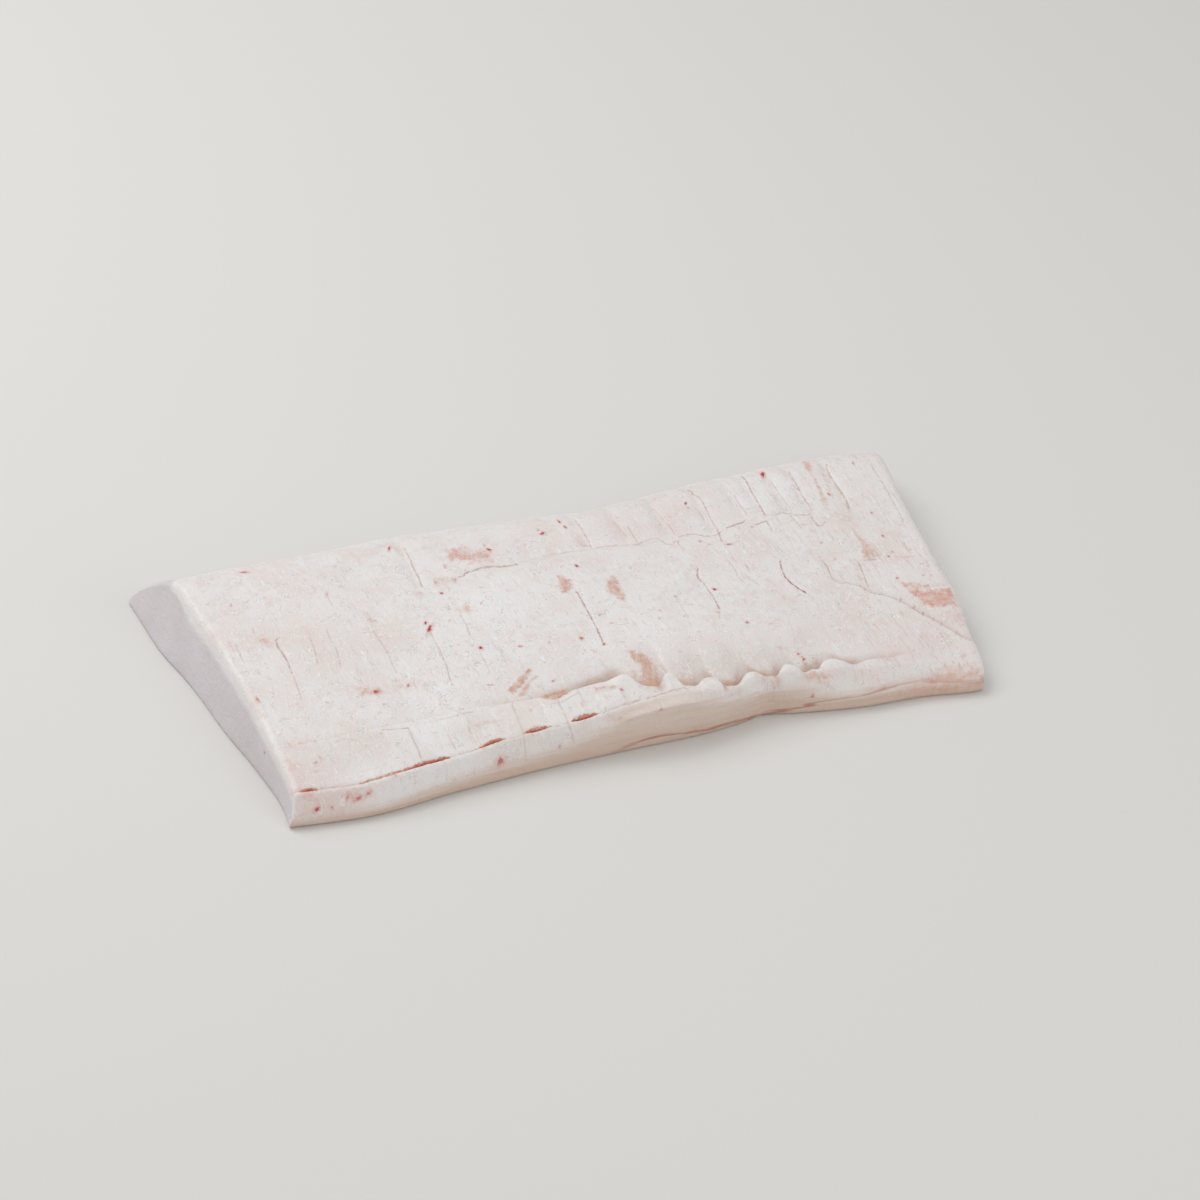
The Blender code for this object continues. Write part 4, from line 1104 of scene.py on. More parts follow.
def humps(x, y, group):
    """The sum of soft humps, each a weight times a swell along and a swell across, held at 1."""
    total = sum(w * swell((x - hx) / rx) * swell((y - hy) / ry) for hx, hy, rx, ry, w in group)
    return np.minimum(total, 1.0)


blush_top = np.stack([humps(sheet_x, sheet_y, group) for group in
                      (PINK_HUMPS, CREAM_AND_SHADE_HUMPS, WHITE_HUMPS)], axis=-1)


def front_levels(x, y, z):
    """Depth below the outer fat's upper limit, and height above the membrane."""
    ahead = ease(along(x, SLIT_PATH) - y, FRONT_STARTS)
    into_outer = (along(x, OUTER_FAT) - z) * ahead - KEPT_OFF * (1.0 - ahead)
    return into_outer, z - along(x, MEMBRANE_LINE) + KEPT_OFF * (1.0 - ahead)


into_outer, over_membrane = front_levels(sheet_x, sheet_y, sheet[..., 2])
left_back = ease(sheet_y, FACE_BACK_FROM) * (1.0 - ease(sheet_x - sheet_x[0], FACE_BACK_REACH))
into_face = FACE_BACK_DEPTH * left_back - np.minimum(from_cut, FACE_REACH)
sides_top = np.stack([into_face, into_outer, over_membrane], axis=-1)
print("outer fat shows up to", max(height for _, height in OUTER_FAT), "mm")

# %% [markdown]
# ## Painted shade in hollows and behind the bays
# In a hollow, where light comes back from its own walls, the fat gets painted shade, darker
# and warmer, and the drop behind each bay gets painted shade tinted tan. Raised places get a
# painted highlight. A hollow is found as a painter finds one: the relief is laid on a square
# lattice and blurred, and where the blurred height is above the true one there is a hollow. The
# blur is a multiplication in the frequency domain.

# %% Painted shade in hollows and behind the bays
LATTICE_STEP = 1.0
LATTICE_X, LATTICE_Y = (-280.0, 280.0), (-140.0, 150.0)
BLURS = (2.0, 6.0)
SLOPE_OF_VIEW = 0.73
BAY_SHADE_STARTS = (-0.3, 0.6)
BAY_SHADE_FADES_OVER = 7.0
# How strongly painted shade, tinted tan, darkens the drop behind each bay, as (x, strength).
BAY_PAINTED_SHADE = (
    (-62, 0.0), (-55, 0.45), (-42, 0.30), (-32, 0.60), (-14, 0.70), (-6, 0.35), (0, 0.5),
    (8, 0.3), (19, 0.15), (28, 0.75), (39, 0.25), (48, 0.7), (54, 0.9), (62, 0.6), (70, 0.2),
    (76, 0.85), (84, 0.85), (91, 0.35), (97, 0.15), (105, 0.6), (113, 0.8), (119, 0.4),
    (125, 0.15), (133, 0.5), (140, 0.6), (147, 0.3), (153, 0.15), (160, 0.4), (168, 0.45),
    (178, 0.15), (195, 0.0),
)


def blurred(heights, reach):
    """A Gaussian blur: each wave keeps e to the power of -2 (pi times reach times frequency)^2."""
    kx = np.fft.fftfreq(heights.shape[0], LATTICE_STEP)[:, None]
    ky = np.fft.fftfreq(heights.shape[1], LATTICE_STEP)[None, :]
    share_kept = np.exp(-2.0 * (np.pi * reach) ** 2 * (kx ** 2 + ky ** 2))
    return np.fft.ifft2(np.fft.fft2(heights) * share_kept).real


def read_lattice(values, x, y):
    """The value between four lattice points, straight both ways."""
    u, v = (x - LATTICE_X[0]) / LATTICE_STEP, (y - LATTICE_Y[0]) / LATTICE_STEP
    i = np.clip(np.floor(u).astype(int), 0, values.shape[0] - 2)
    j = np.clip(np.floor(v).astype(int), 0, values.shape[1] - 2)
    s, t = u - i, v - j
    near = values[i, j] * (1.0 - s) + values[i + 1, j] * s
    far = values[i, j + 1] * (1.0 - s) + values[i + 1, j + 1] * s
    return near * (1.0 - t) + far * t


lattice_x, lattice_y = np.meshgrid(
    np.arange(*LATTICE_X, LATTICE_STEP), np.arange(*LATTICE_Y, LATTICE_STEP), indexing="ij"
)
relief = crest_relief(lattice_x, lattice_y) + seam_relief(lattice_x, lattice_y)
relief += crack_relief(lattice_x, lattice_y) + grain(lattice_x, lattice_y)
# Depths of hollow at two blurs, which the material turns into painted shade.
hollows = [read_lattice(blurred(relief, reach) - relief, sheet_x, sheet_y) for reach in BLURS]
behind = sheet_y - along(sheet_x, CREST_PATH)
hidden = (along(sheet_x, TROUGH_DEPTH) + along(sheet_x, CREST_HEIGHT)) / SLOPE_OF_VIEW
# Painted shade behind the crest, fading out once the floor shows past the edge.
bay_shade = along(sheet_x, BAY_PAINTED_SHADE) * ease(behind, BAY_SHADE_STARTS)
bay_shade *= 1.0 - ease(behind - hidden, (0.0, BAY_SHADE_FADES_OVER))
shade_top = np.stack([hollows[0], hollows[1], bay_shade], axis=-1)
print("deepest hollows in mm:", [round(float(hollow_shade.max()), 2) for hollow_shade in hollows])

# %% [markdown]
# ## The mesh
# The sheet's points come first and the rings follow. Faces are index arithmetic on whole
# arrays: a quad for each cell of the grid, and a quad between each ring and the one below it.

# %% The mesh
METRES_PER_MM = 0.001


def quads_of_sheet(columns, rows):
    """One quad for each cell, turned to face up."""
    first = np.arange(columns - 1)[:, None] * rows + np.arange(rows - 1)[None, :]
    return np.stack([first, first + rows, first + rows + 1, first + 1], axis=-1).reshape(-1, 4)


def quads_of_rings(upper, count, start):
    """Quads from the rim down through each ring, turned to face outwards."""
    quads = []
    for ring in range(count):
        lower = start + ring * len(upper) + np.arange(len(order))
        quads.append(np.stack([np.roll(upper, -1), upper, lower, np.roll(lower, -1)], axis=-1))
        upper = lower
    return np.concatenate(quads), upper


def per_ring(top_values, ring_values):
    """Join values of the sheet to those of the rings."""
    return np.concatenate([top_values.reshape(-1, 3)] + ring_values)


columns, rows = sheet.shape[:2]
points = np.concatenate([sheet.reshape(-1, 3)] + rings)
points_middle = 0.5 * (points.min(axis=0) + points.max(axis=0))
box_middle = MM_PER_METRE * 0.5 * (np.array(low) + np.array(high))
moved_by = box_middle[:2] - points_middle[:2]
points[:, :2] += moved_by
rim = order[:, 0] * rows + order[:, 1]
side_quads, last_ring = quads_of_rings(rim, len(rings), columns * rows)
faces = quads_of_sheet(columns, rows).tolist() + side_quads.tolist() + [last_ring[::-1].tolist()]

data = bpy.data.meshes.new("fatback_slab")
data.from_pydata((points * METRES_PER_MM).tolist(), [], faces)
data.validate()
data.shade_smooth()
slab = bpy.data.objects.new("fatback_slab", data)
bpy.context.scene.collection.objects.link(slab)
size = points.max(axis=0) - points.min(axis=0)
print("slab in mm:", size.round(1), "moved by", moved_by.round(3))
print("triangles:", sum(len(p.vertices) - 2 for p in data.polygons))

# %% [markdown]
# ## What each vertex knows
# The fields go into the mesh as named attributes, which the material reads. The rings take the
# values of the rim above them where the field is about the top, and their own where it is about
# the sides. The left cut has two spots of its own, each placed by (across, height).

# %% Attributes
FACE_SPOTS = ((-64.0, 16.0, 1.5, 1.0, 50, 0.75), (-33.0, 20.0, 3.5, 0.5, 105, 0.25))
# Towards the back of a cut its whiter rim of painted light gives way to the face.
RIM_HIDDEN_BY = 10.0
RIM_HIDDEN_FROM = (60.0, 95.0)


def put_attribute(mesh, name, values):
    """Store one vector for each vertex."""
    layer = mesh.attributes.new(name, "FLOAT_VECTOR", "POINT")
    layer.data.foreach_set("vector", np.ascontiguousarray(values, dtype=np.float32).ravel())


def with_zeros(values):
    """Each value as a vector, with two zeros after it."""
    return np.stack([values, np.zeros_like(values), np.zeros_like(values)], axis=-1)


outward = order[:, 2:]
rim_rows = (order[:, 0], order[:, 1])
is_cut = outward[:, 0] != 0
is_left = outward[:, 0] < 0
is_front = (outward[:, 1] < 0) & ~is_cut
ring_sides, ring_spots = [], []
for ring in rings:
    rim_hidden = RIM_HIDDEN_BY * ease(ring[:, 1], RIM_HIDDEN_FROM)
    below = np.where(is_cut, sheet[rim_rows][:, 2] - ring[:, 2] + rim_hidden, -FACE_REACH)
    into_outer, over_membrane = front_levels(ring[:, 0], ring[:, 1], ring[:, 2])
    ring_sides.append(np.stack([below, into_outer, over_membrane], -1))
    on_face = spot_field(ring[:, 1], ring[:, 2], FACE_SPOTS)
    ring_spots.append(np.where(is_left[:, None], on_face, 0.0))
quiet = [np.tile([LINE_REACH, 0.0, 0.0], (len(order), 1))] * len(rings)
put_attribute(data, "cuts_across", per_ring(across_field, quiet))
put_attribute(data, "cuts_along", per_ring(along_field, quiet))
put_attribute(data, "spots", per_ring(spots_top, ring_spots))
film_rings, fibre_rings = [], []
for ring in rings:
    films_here = films_top[rim_rows]
    films_here[:, 2] *= is_front
    film_rings.append(films_here)
    fibre_rings.append(fibres_top[rim_rows] + with_zeros(ring[:, 2]))
put_attribute(data, "films", per_ring(films_top, film_rings))
put_attribute(data, "fibres", per_ring(fibres_top, fibre_rings))
put_attribute(data, "blush", per_ring(blush_top, [blush_top[rim_rows]] * len(rings)))
put_attribute(data, "sides", per_ring(sides_top, ring_sides))
put_attribute(data, "shade", per_ring(shade_top, [0.0 * shade_top[rim_rows]] * len(rings)))
shut = [np.full((len(order), 3), -LINE_REACH)] * len(rings)
put_attribute(data, "gape", per_ring(with_zeros(gape_top), shut))
print("attributes:", [a.name for a in data.attributes if a.domain == "POINT"])

# %% [markdown]
# ## Raw fat
# Raw back fat is a soft, nearly opaque solid under a moist film. Light goes a few millimetres in
# and comes out warmer, which is what subsurface scattering gives. The moist film is a thin coat,
# so the sheen is soft. Colours are written as they look on a screen and turned to linear light
# by one function.
#
# One small function adds a node with its settings and links. A node that is linked stands for
# its first output in use, and a pair of inputs may take a pair of values at once, such as the
# range that a Map Range node reads (`FROM`) and the range that it gives (`TO`).

# %% Material: helpers
FROM, TO = (1, 2), (3, 4)
SMOOTH = {"interpolation_type": "SMOOTHSTEP"}
# The inputs of a Mix node in colour mode: its factor and its two colours.
FACTOR, FIRST, SECOND = 0, 6, 7
COLOURS = {"data_type": "RGBA"}
# Nearly all values of a noise lie in this range.
NOISE_SPREAD = (0.3, 0.7)

fat = bpy.data.materials.new("raw back fat, moist")
fat.use_nodes = True
tree = fat.node_tree
tree.nodes.clear()


def linear(hex_code):
    """sRGB hex to linear light: the low part is a straight line, the rest a power of 2.4."""
    channels = np.array([int(hex_code[i:i + 2], 16) for i in (1, 3, 5)]) / 255.0
    low_part = channels / 12.92
    high_part = ((channels + 0.055) / 1.055) ** 2.4
    return tuple(np.where(channels <= 0.04045, low_part, high_part)) + (1.0,)


def add(kind, inputs=None, **settings):
    """Add a node: settings are its properties, and each input takes a value, socket or node."""
    node = tree.nodes.new("ShaderNode" + kind)
    for name, value in settings.items():
        setattr(node, name, value)
    for key, value in (inputs or {}).items():
        if isinstance(value, bpy.types.Node):
            value = next(output for output in value.outputs if output.enabled)
        if isinstance(value, bpy.types.NodeSocket):
            tree.links.new(value, node.inputs[key])
        elif isinstance(key, tuple):
            for one_key, one_value in zip(key, value):
                node.inputs[one_key].default_value = one_value
        else:
            node.inputs[key].default_value = value
    return node


FAT_WHITE = linear("#F1EDEA")
FAT_WARM = linear("#EEE5E0")
FAT_PINK = linear("#E8D3CC")
FAT_CREAM_AND_SHADE = linear("#E3D8D1")
FAT_BRIGHT = linear("#F9F8F7")
print("fat white in linear light:", [round(float(c), 3) for c in FAT_WHITE[:3]])

# %% [markdown]
# ## What the material reads
# It reads the place of each point, in metres, and the attributes that the mesh stores. An
# attribute is a vector of three numbers, so each is taken apart once, in a loop.

# %% Material: what it reads
place = add("TexCoord").outputs["Object"]
position = add("SeparateXYZ", {0: place}).outputs
stored = {}
for name in ("blush", "shade", "sides", "films", "spots", "cuts_across", "cuts_along", "gape"):
    vector = add("Attribute", attribute_name=name).outputs["Vector"]
    stored[name] = add("SeparateXYZ", {0: vector}).outputs
print("read from the mesh:", list(stored))

# %% [markdown]
# ## The white of the fat
# Three sizes of mottling: patches of about 25 mm, clouds of about 8 mm, and the broad humps of
# the blush attribute. A noise's scale is one over a size in metres, because Object coordinates
# are in metres.

# %% Material: mottled white
PATCH_SIZE = 0.025
CLOUD_SIZE = 0.008
CLOUD_PINKNESS = 0.42
BLUSH_PINKNESS = 0.85
BLUSH_BRIGHTNESS = 0.8

blush = stored["blush"]
patches = add("TexNoise", {
    "Vector": place, "Scale": 1 / PATCH_SIZE, "Detail": 3.0, "Roughness": 0.55,
})
clouds = add("TexNoise", {
    "Vector": place, "Scale": 1 / CLOUD_SIZE, "Detail": 4.0, "Roughness": 0.6, "Distortion": 0.4,
})
patch_mask = add("MapRange", {0: patches, FROM: (0.42, 0.66)}, **SMOOTH)
cloud_mask = add("MapRange", {0: clouds, FROM: (0.45, 0.70)}, **SMOOTH)
white = add("Mix", {FACTOR: patch_mask, FIRST: FAT_WHITE, SECOND: FAT_WARM}, **COLOURS)
cloud_pink = add("Math", {0: cloud_mask, 1: CLOUD_PINKNESS}, operation="MULTIPLY")
blush_pink = add("Math", {0: blush[0], 1: BLUSH_PINKNESS}, operation="MULTIPLY")
pinkness = add("Math", {0: cloud_pink, 1: blush_pink}, operation="MAXIMUM", use_clamp=True)
white = add("Mix", {FACTOR: pinkness, FIRST: white, SECOND: FAT_PINK}, **COLOURS)
# Cream, which in the hollow behind the crest is painted shade.
white = add("Mix", {FACTOR: blush[1], FIRST: white, SECOND: FAT_CREAM_AND_SHADE}, **COLOURS)
brightness = add("Math", {0: blush[2], 1: BLUSH_BRIGHTNESS}, operation="MULTIPLY")
white = add("Mix", {FACTOR: brightness, FIRST: white, SECOND: FAT_BRIGHT}, **COLOURS)
sizes_in_mm = [MM_PER_METRE * size for size in (PATCH_SIZE, CLOUD_SIZE)]
print("patches and clouds in mm:", sizes_in_mm)

# %% [markdown]
# ## Fibres and wrinkles
# Under the moist film run fibres of connective tissue, short, curled and whiter than the fat,
# and fine grey creases between them. They are noise stretched along the knife's way, front to
# back, and thresholded to threads. Real ones are 0.3 to 0.5 mm wide, less than a pixel here,
# so they are drawn about 1 mm wide. At the right end the knife went askew, and a second noise
# draws its tan strokes.

# %% Material: fibres
# Each cell as its size (across the threads, along them, down), in metres.
THREAD_CELL = (0.0024, 0.012, 0.006)
THREAD_TURN = np.radians(12)
STROKE_CELL = (0.0022, 0.016, 0.006)
STROKE_TURN = np.radians(-48)
STROKES_FADE_IN = (0.10, 0.17)
STROKE_DARKNESS = 0.7
THREADED_AREA = 0.030
CREASE_DARKNESS = 0.42
CREASE_GREY = linear("#CFC0B8")
STROKE_TAN = linear("#D9C5BC")

thread_place = add("Mapping", {
    "Vector": place, "Rotation": (0, 0, THREAD_TURN), "Scale": [1 / size for size in THREAD_CELL],
})
threads = add("TexNoise", {
    "Vector": thread_place, "Scale": 1.0, "Detail": 3.0, "Roughness": 0.55, "Distortion": 1.1,
})
thread_mask = add("MapRange", {0: threads, FROM: (0.60, 0.72)}, **SMOOTH)
crease_mask = add("MapRange", {0: threads, FROM: (0.38, 0.27)}, **SMOOTH)
stroke_place = add("Mapping", {
    "Vector": place, "Rotation": (0, 0, STROKE_TURN), "Scale": [1 / size for size in STROKE_CELL],
})
strokes = add("TexNoise", {
    "Vector": stroke_place, "Scale": 1.0, "Detail": 3.0, "Roughness": 0.6, "Distortion": 0.7,
})
stroke_mask = add("MapRange", {
    0: strokes, FROM: (0.44, 0.28), TO: (0.0, STROKE_DARKNESS),
}, **SMOOTH)
at_right = add("MapRange", {0: position[0], FROM: STROKES_FADE_IN}, **SMOOTH)
stroke_amount = add("Math", {0: stroke_mask, 1: at_right}, operation="MULTIPLY")
threaded = add("TexNoise", {"Vector": place, "Scale": 1 / THREADED_AREA, "Detail": 2.0})
threaded_mask = add("MapRange", {0: threaded, FROM: (0.40, 0.62), TO: (0.25, 1.0)})
thread_amount = add("Math", {0: thread_mask, 1: threaded_mask}, operation="MULTIPLY")
crease_amount = add("Math", {0: crease_mask, 1: CREASE_DARKNESS}, operation="MULTIPLY")
white = add("Mix", {FACTOR: thread_amount, FIRST: white, SECOND: FAT_BRIGHT}, **COLOURS)
white = add("Mix", {FACTOR: crease_amount, FIRST: white, SECOND: CREASE_GREY}, **COLOURS)
white = add("Mix", {FACTOR: stroke_amount, FIRST: white, SECOND: STROKE_TAN}, **COLOURS)
print("threads in mm, apart and long:", [MM_PER_METRE * size for size in THREAD_CELL[:2]])

# %% [markdown]
# ## Curls
# Here and there the skin of the fat is crazed with curled hair creases, pinker than the fat.
# They are contour lines: a noise is cut where it passes its middle value, which gives closed
# loops, and the clouds let only parts of the loops show. A paler ridge runs along each crease.

# %% Material: curls
CURL_SIZE = 0.0065
# How far the noise is from its middle value at the outer and the inner edge of each.
CURL_EDGE, RIDGE_EDGE = (0.022, 0.004), (0.075, 0.030)
CURL_DARKNESS = 0.58
RIDGE_BRIGHTNESS = 0.6
CURL_PINK = linear("#CDB6AC")

curl_noise = add("TexNoise", {
    "Vector": place, "Scale": 1 / CURL_SIZE, "Detail": 2.0, "Roughness": 0.5, "Distortion": 0.8,
})
from_middle_value = add("Math", {0: curl_noise, 1: 0.5}, operation="SUBTRACT")
off_contour = add("Math", {0: from_middle_value}, operation="ABSOLUTE")
curl = add("MapRange", {0: off_contour, FROM: CURL_EDGE}, **SMOOTH)
curl_ridge = add("MapRange", {0: off_contour, FROM: RIDGE_EDGE}, **SMOOTH)
curled = add("MapRange", {0: clouds, FROM: (0.42, 0.60)}, **SMOOTH)
curl_part = add("Math", {0: curl, 1: curled}, operation="MULTIPLY")
curl_amount = add("Math", {0: curl_part, 1: CURL_DARKNESS}, operation="MULTIPLY")
ridge_part = add("Math", {0: curl_ridge, 1: curled}, operation="MULTIPLY")
ridge_amount = add("Math", {0: ridge_part, 1: RIDGE_BRIGHTNESS}, operation="MULTIPLY")
white = add("Mix", {FACTOR: ridge_amount, FIRST: white, SECOND: FAT_BRIGHT}, **COLOURS)
white = add("Mix", {FACTOR: curl_amount, FIRST: white, SECOND: CURL_PINK}, **COLOURS)
print("curls", MM_PER_METRE * CURL_SIZE, "mm apart")

# %% [markdown]
# ## Painted shade and highlight
# The shade attribute holds two depths of hollow in millimetres, one read at 2 mm and one at
# 6 mm, and the painted shade behind the crest. A hollow gets a warm grey painted shade, a raised
# place a paler painted highlight, and the clouds give the shade behind the crest an uneven edge.

# %% Material: painted shade and highlight
# How deep a hollow is where its painted shade starts and where it is full, in mm, and how
# strongly the shade shows then. A raised place has a depth below 0 and gets a painted highlight.
SMALL_HOLLOW, SMALL_SHADE = (0.05, 1.3), 0.40
WIDE_HOLLOW, WIDE_SHADE = (0.2, 3.0), 0.45
RAISED, RAISED_LIGHT = (-0.2, -1.8), 0.45
HOLLOW_SHADE_WARM = linear("#C3A798")
BAY_SHADE_TAN = linear("#B8917C")

shade = stored["shade"]
small_hollow_shade = add("MapRange", {0: shade[0], FROM: SMALL_HOLLOW, TO: (0.0, SMALL_SHADE)})
wide_hollow_shade = add("MapRange", {0: shade[1], FROM: WIDE_HOLLOW, TO: (0.0, WIDE_SHADE)})
raised = add("MapRange", {0: shade[1], FROM: RAISED, TO: (0.0, RAISED_LIGHT)})
hollow_shade = add("Math", {0: small_hollow_shade, 1: wide_hollow_shade}, operation="ADD", use_clamp=True)
# A painted highlight on raised places, then painted shade in hollows.
white = add("Mix", {FACTOR: raised, FIRST: white, SECOND: FAT_BRIGHT}, **COLOURS)
white = add("Mix", {FACTOR: hollow_shade, FIRST: white, SECOND: HOLLOW_SHADE_WARM}, **COLOURS)
# Painted shade behind the crest, tinted tan, with a cloudy edge.
bay_shade_edge = add("MapRange", {0: clouds, FROM: (0.30, 0.65), TO: (0.45, 1.0)})
bay_shaded = add("Math", {0: shade[2], 1: bay_shade_edge}, operation="MULTIPLY")
white = add("Mix", {FACTOR: bay_shaded, FIRST: white, SECOND: BAY_SHADE_TAN}, **COLOURS)
print("hollows and stains shaded")

# %% [markdown]
# ## The two cuts
# The two end cuts are smooth and cool white. A whiter rim of painted light, about 3 mm wide,
# runs along their upper edge, where the fat is thin and light comes through. The first number of
# the sides attribute is the depth below that edge in millimetres. It is below 0 on the top,
# except at the back corner of the left cut, where the smooth face runs on over the edge.

# %% Material: the two cuts
RIM_REACH, RIM_WHITENESS = (-2.2, 0.6), 0.5
FACE_STARTS = (0.5, 6.0)
PAINTED_RIM_LIGHT = linear("#F4F1EF")
CUT_COOL, CUT_LILAC = linear("#DFD9DC"), linear("#DAD2D4")

sides = stored["sides"]
# Painted light along the upper edge of each cut.
painted_rim_light = add("MapRange", {0: sides[0], FROM: RIM_REACH, TO: (0.0, RIM_WHITENESS)}, **SMOOTH)
on_face = add("MapRange", {0: sides[0], FROM: FACE_STARTS}, **SMOOTH)
colour = add("Mix", {FACTOR: painted_rim_light, FIRST: white, SECOND: PAINTED_RIM_LIGHT}, **COLOURS)
face_cloud = add("MapRange", {0: patches, FROM: (0.35, 0.65)})
face_colour = add("Mix", {FACTOR: face_cloud, FIRST: CUT_COOL, SECOND: CUT_LILAC}, **COLOURS)
colour = add("Mix", {FACTOR: on_face, FIRST: colour, SECOND: face_colour}, **COLOURS)
print("cuts coloured")

# %% [markdown]
# ## The front side
# The front side is a cut through the outer fat: beige, with painted shade darkening it towards
# the foot, streaked lengthwise, with one thin brown membrane line on its right half. The streaks
# also push the line and the outer fat's upper limit up and down by up to 1.6 mm, so that neither
# is ruled.

# %% Material: the front side
FOOT_SHADE_UP_TO = 0.022
STREAK_CELL = (0.040, 0.040, 0.0022)
STREAK_DARKNESS = 0.30
LINE_WANDER = 1.6
MEMBRANE_HALF_WIDTH = (1.5, 0.4)
MEMBRANE_FADES_IN = (-0.045, -0.005)
MEMBRANE_DARKNESS = 0.75
OUTER_FAT_EDGE = (-6.0, 5.5)
# The second beige is painted shade low on the front side.
BEIGE, BEIGE_FOOT_SHADE, BEIGE_STREAK = linear("#E3D3C8"), linear("#DAC3B3"), linear("#D3B5A1")
MEMBRANE_BROWN = linear("#B47A66")

# Painted shade darkens the front side towards the foot.
painted_foot_shade = add("MapRange", {0: position[2], FROM: (FOOT_SHADE_UP_TO, 0.0)}, **SMOOTH)
streak_place = add("Mapping", {"Vector": place, "Scale": [1 / size for size in STREAK_CELL]})
streaks = add("TexNoise", {
    "Vector": streak_place, "Scale": 1.0, "Detail": 3.0, "Roughness": 0.6, "Distortion": 0.3,
})
streak_mask = add("MapRange", {0: streaks, FROM: (0.42, 0.66)}, **SMOOTH)
streak_part = add("Math", {0: streak_mask, 1: STREAK_DARKNESS}, operation="MULTIPLY")
beige = add("Mix", {FACTOR: painted_foot_shade, FIRST: BEIGE, SECOND: BEIGE_FOOT_SHADE}, **COLOURS)
beige = add("Mix", {FACTOR: streak_part, FIRST: beige, SECOND: BEIGE_STREAK}, **COLOURS)

wander = add("MapRange", {0: streaks, FROM: NOISE_SPREAD, TO: (-LINE_WANDER, LINE_WANDER)})
over_line = add("Math", {0: sides[2], 1: wander}, operation="ADD")
off_membrane = add("Math", {0: over_line}, operation="ABSOLUTE")
on_membrane = add("MapRange", {0: off_membrane, FROM: MEMBRANE_HALF_WIDTH}, **SMOOTH)
on_right_half = add("MapRange", {0: position[0], FROM: MEMBRANE_FADES_IN}, **SMOOTH)
membrane = add("Math", {0: on_membrane, 1: on_right_half}, operation="MULTIPLY")
membrane = add("Math", {0: membrane, 1: MEMBRANE_DARKNESS}, operation="MULTIPLY")
beige = add("Mix", {FACTOR: membrane, FIRST: beige, SECOND: MEMBRANE_BROWN}, **COLOURS)

outer_depth = add("Math", {0: sides[1], 1: wander}, operation="ADD")
in_outer = add("MapRange", {0: outer_depth, FROM: OUTER_FAT_EDGE}, **SMOOTH)
off_face = add("Math", {0: 1.0, 1: on_face}, operation="SUBTRACT")
outer_part = add("Math", {0: in_outer, 1: off_face}, operation="MULTIPLY")
colour = add("Mix", {FACTOR: outer_part, FIRST: colour, SECOND: beige}, **COLOURS)
print("front side streaked every", MM_PER_METRE * STREAK_CELL[2], "mm")

# %% [markdown]
# ## Films of meat
# Inside a film the colour runs from fresh pink to dried tan. Stretched noise on the fibre plane
# breaks it into streaks about 1.6 mm apart. A second noise frays its edge and makes the film
# thick in some places and thin in others.

# %% Material: films
FILM_CELL = (1.6, 14.0)
RAGGED_SIZE = 0.0035
FILM_FRAY = 1.3
FILM_EDGE = (-1.2, 2.4)
FILM_PINK, FILM_TAN_AND_SHADE = linear("#DCA28F"), linear("#D0A286")

film = stored["films"]
fibre_plane = add("Attribute", attribute_name="fibres").outputs["Vector"]
fibre_place = add("Mapping", {
    "Vector": fibre_plane, "Scale": (1 / FILM_CELL[0], 1 / FILM_CELL[1], 1.0),
})
fibres = add("TexNoise", {
    "Vector": fibre_place, "Scale": 1.0, "Detail": 3.0, "Roughness": 0.6, "Distortion": 0.3,
})
ragged = add("TexNoise", {
    "Vector": place, "Scale": 1 / RAGGED_SIZE, "Detail": 3.0, "Roughness": 0.6,
})
fray = add("MapRange", {0: ragged, FROM: NOISE_SPREAD, TO: (-FILM_FRAY, FILM_FRAY)})
film_depth = add("Math", {0: film[0], 1: fray}, operation="ADD")
film_mask = add("MapRange", {0: film_depth, FROM: FILM_EDGE}, **SMOOTH)
film_thickness = add("MapRange", {0: ragged, FROM: (0.36, 0.60), TO: (0.62, 1.15)})
film_streaks = add("MapRange", {0: fibres, FROM: (0.30, 0.66), TO: (0.60, 1.0)})
film_amount = add("Math", {0: film_mask, 1: film[2]}, operation="MULTIPLY")
film_amount = add("Math", {0: film_amount, 1: film_streaks}, operation="MULTIPLY")
film_amount = add("Math", {0: film_amount, 1: film_thickness}, operation="MULTIPLY")
# The tan end also colours the films that are painted shade.
film_colour = add("Mix", {FACTOR: film[1], FIRST: FILM_PINK, SECOND: FILM_TAN_AND_SHADE}, **COLOURS)
colour = add("Mix", {FACTOR: film_amount, FIRST: colour, SECOND: film_colour}, **COLOURS)
print("films streaked every", FILM_CELL[0], "mm")

# %% [markdown]
# ## Spots of blood
# A spot has a dark core and a pink halo where blood has soaked into the fat. A little noise
# bends its outline. A weak spot keeps its halo and loses most of its core.

# %% Material: spots
WOBBLE_SIZE = 0.0018
WOBBLE = 0.35
HALO_EDGE, HALO_STRENGTH = (1.9, 0.7), 0.55
CORE_EDGE, WEAK_CORE_POWER = (0.95, 0.25), 1.7
HALO_PINK, CORE_RED = linear("#E0A8A0"), linear("#B2252B")

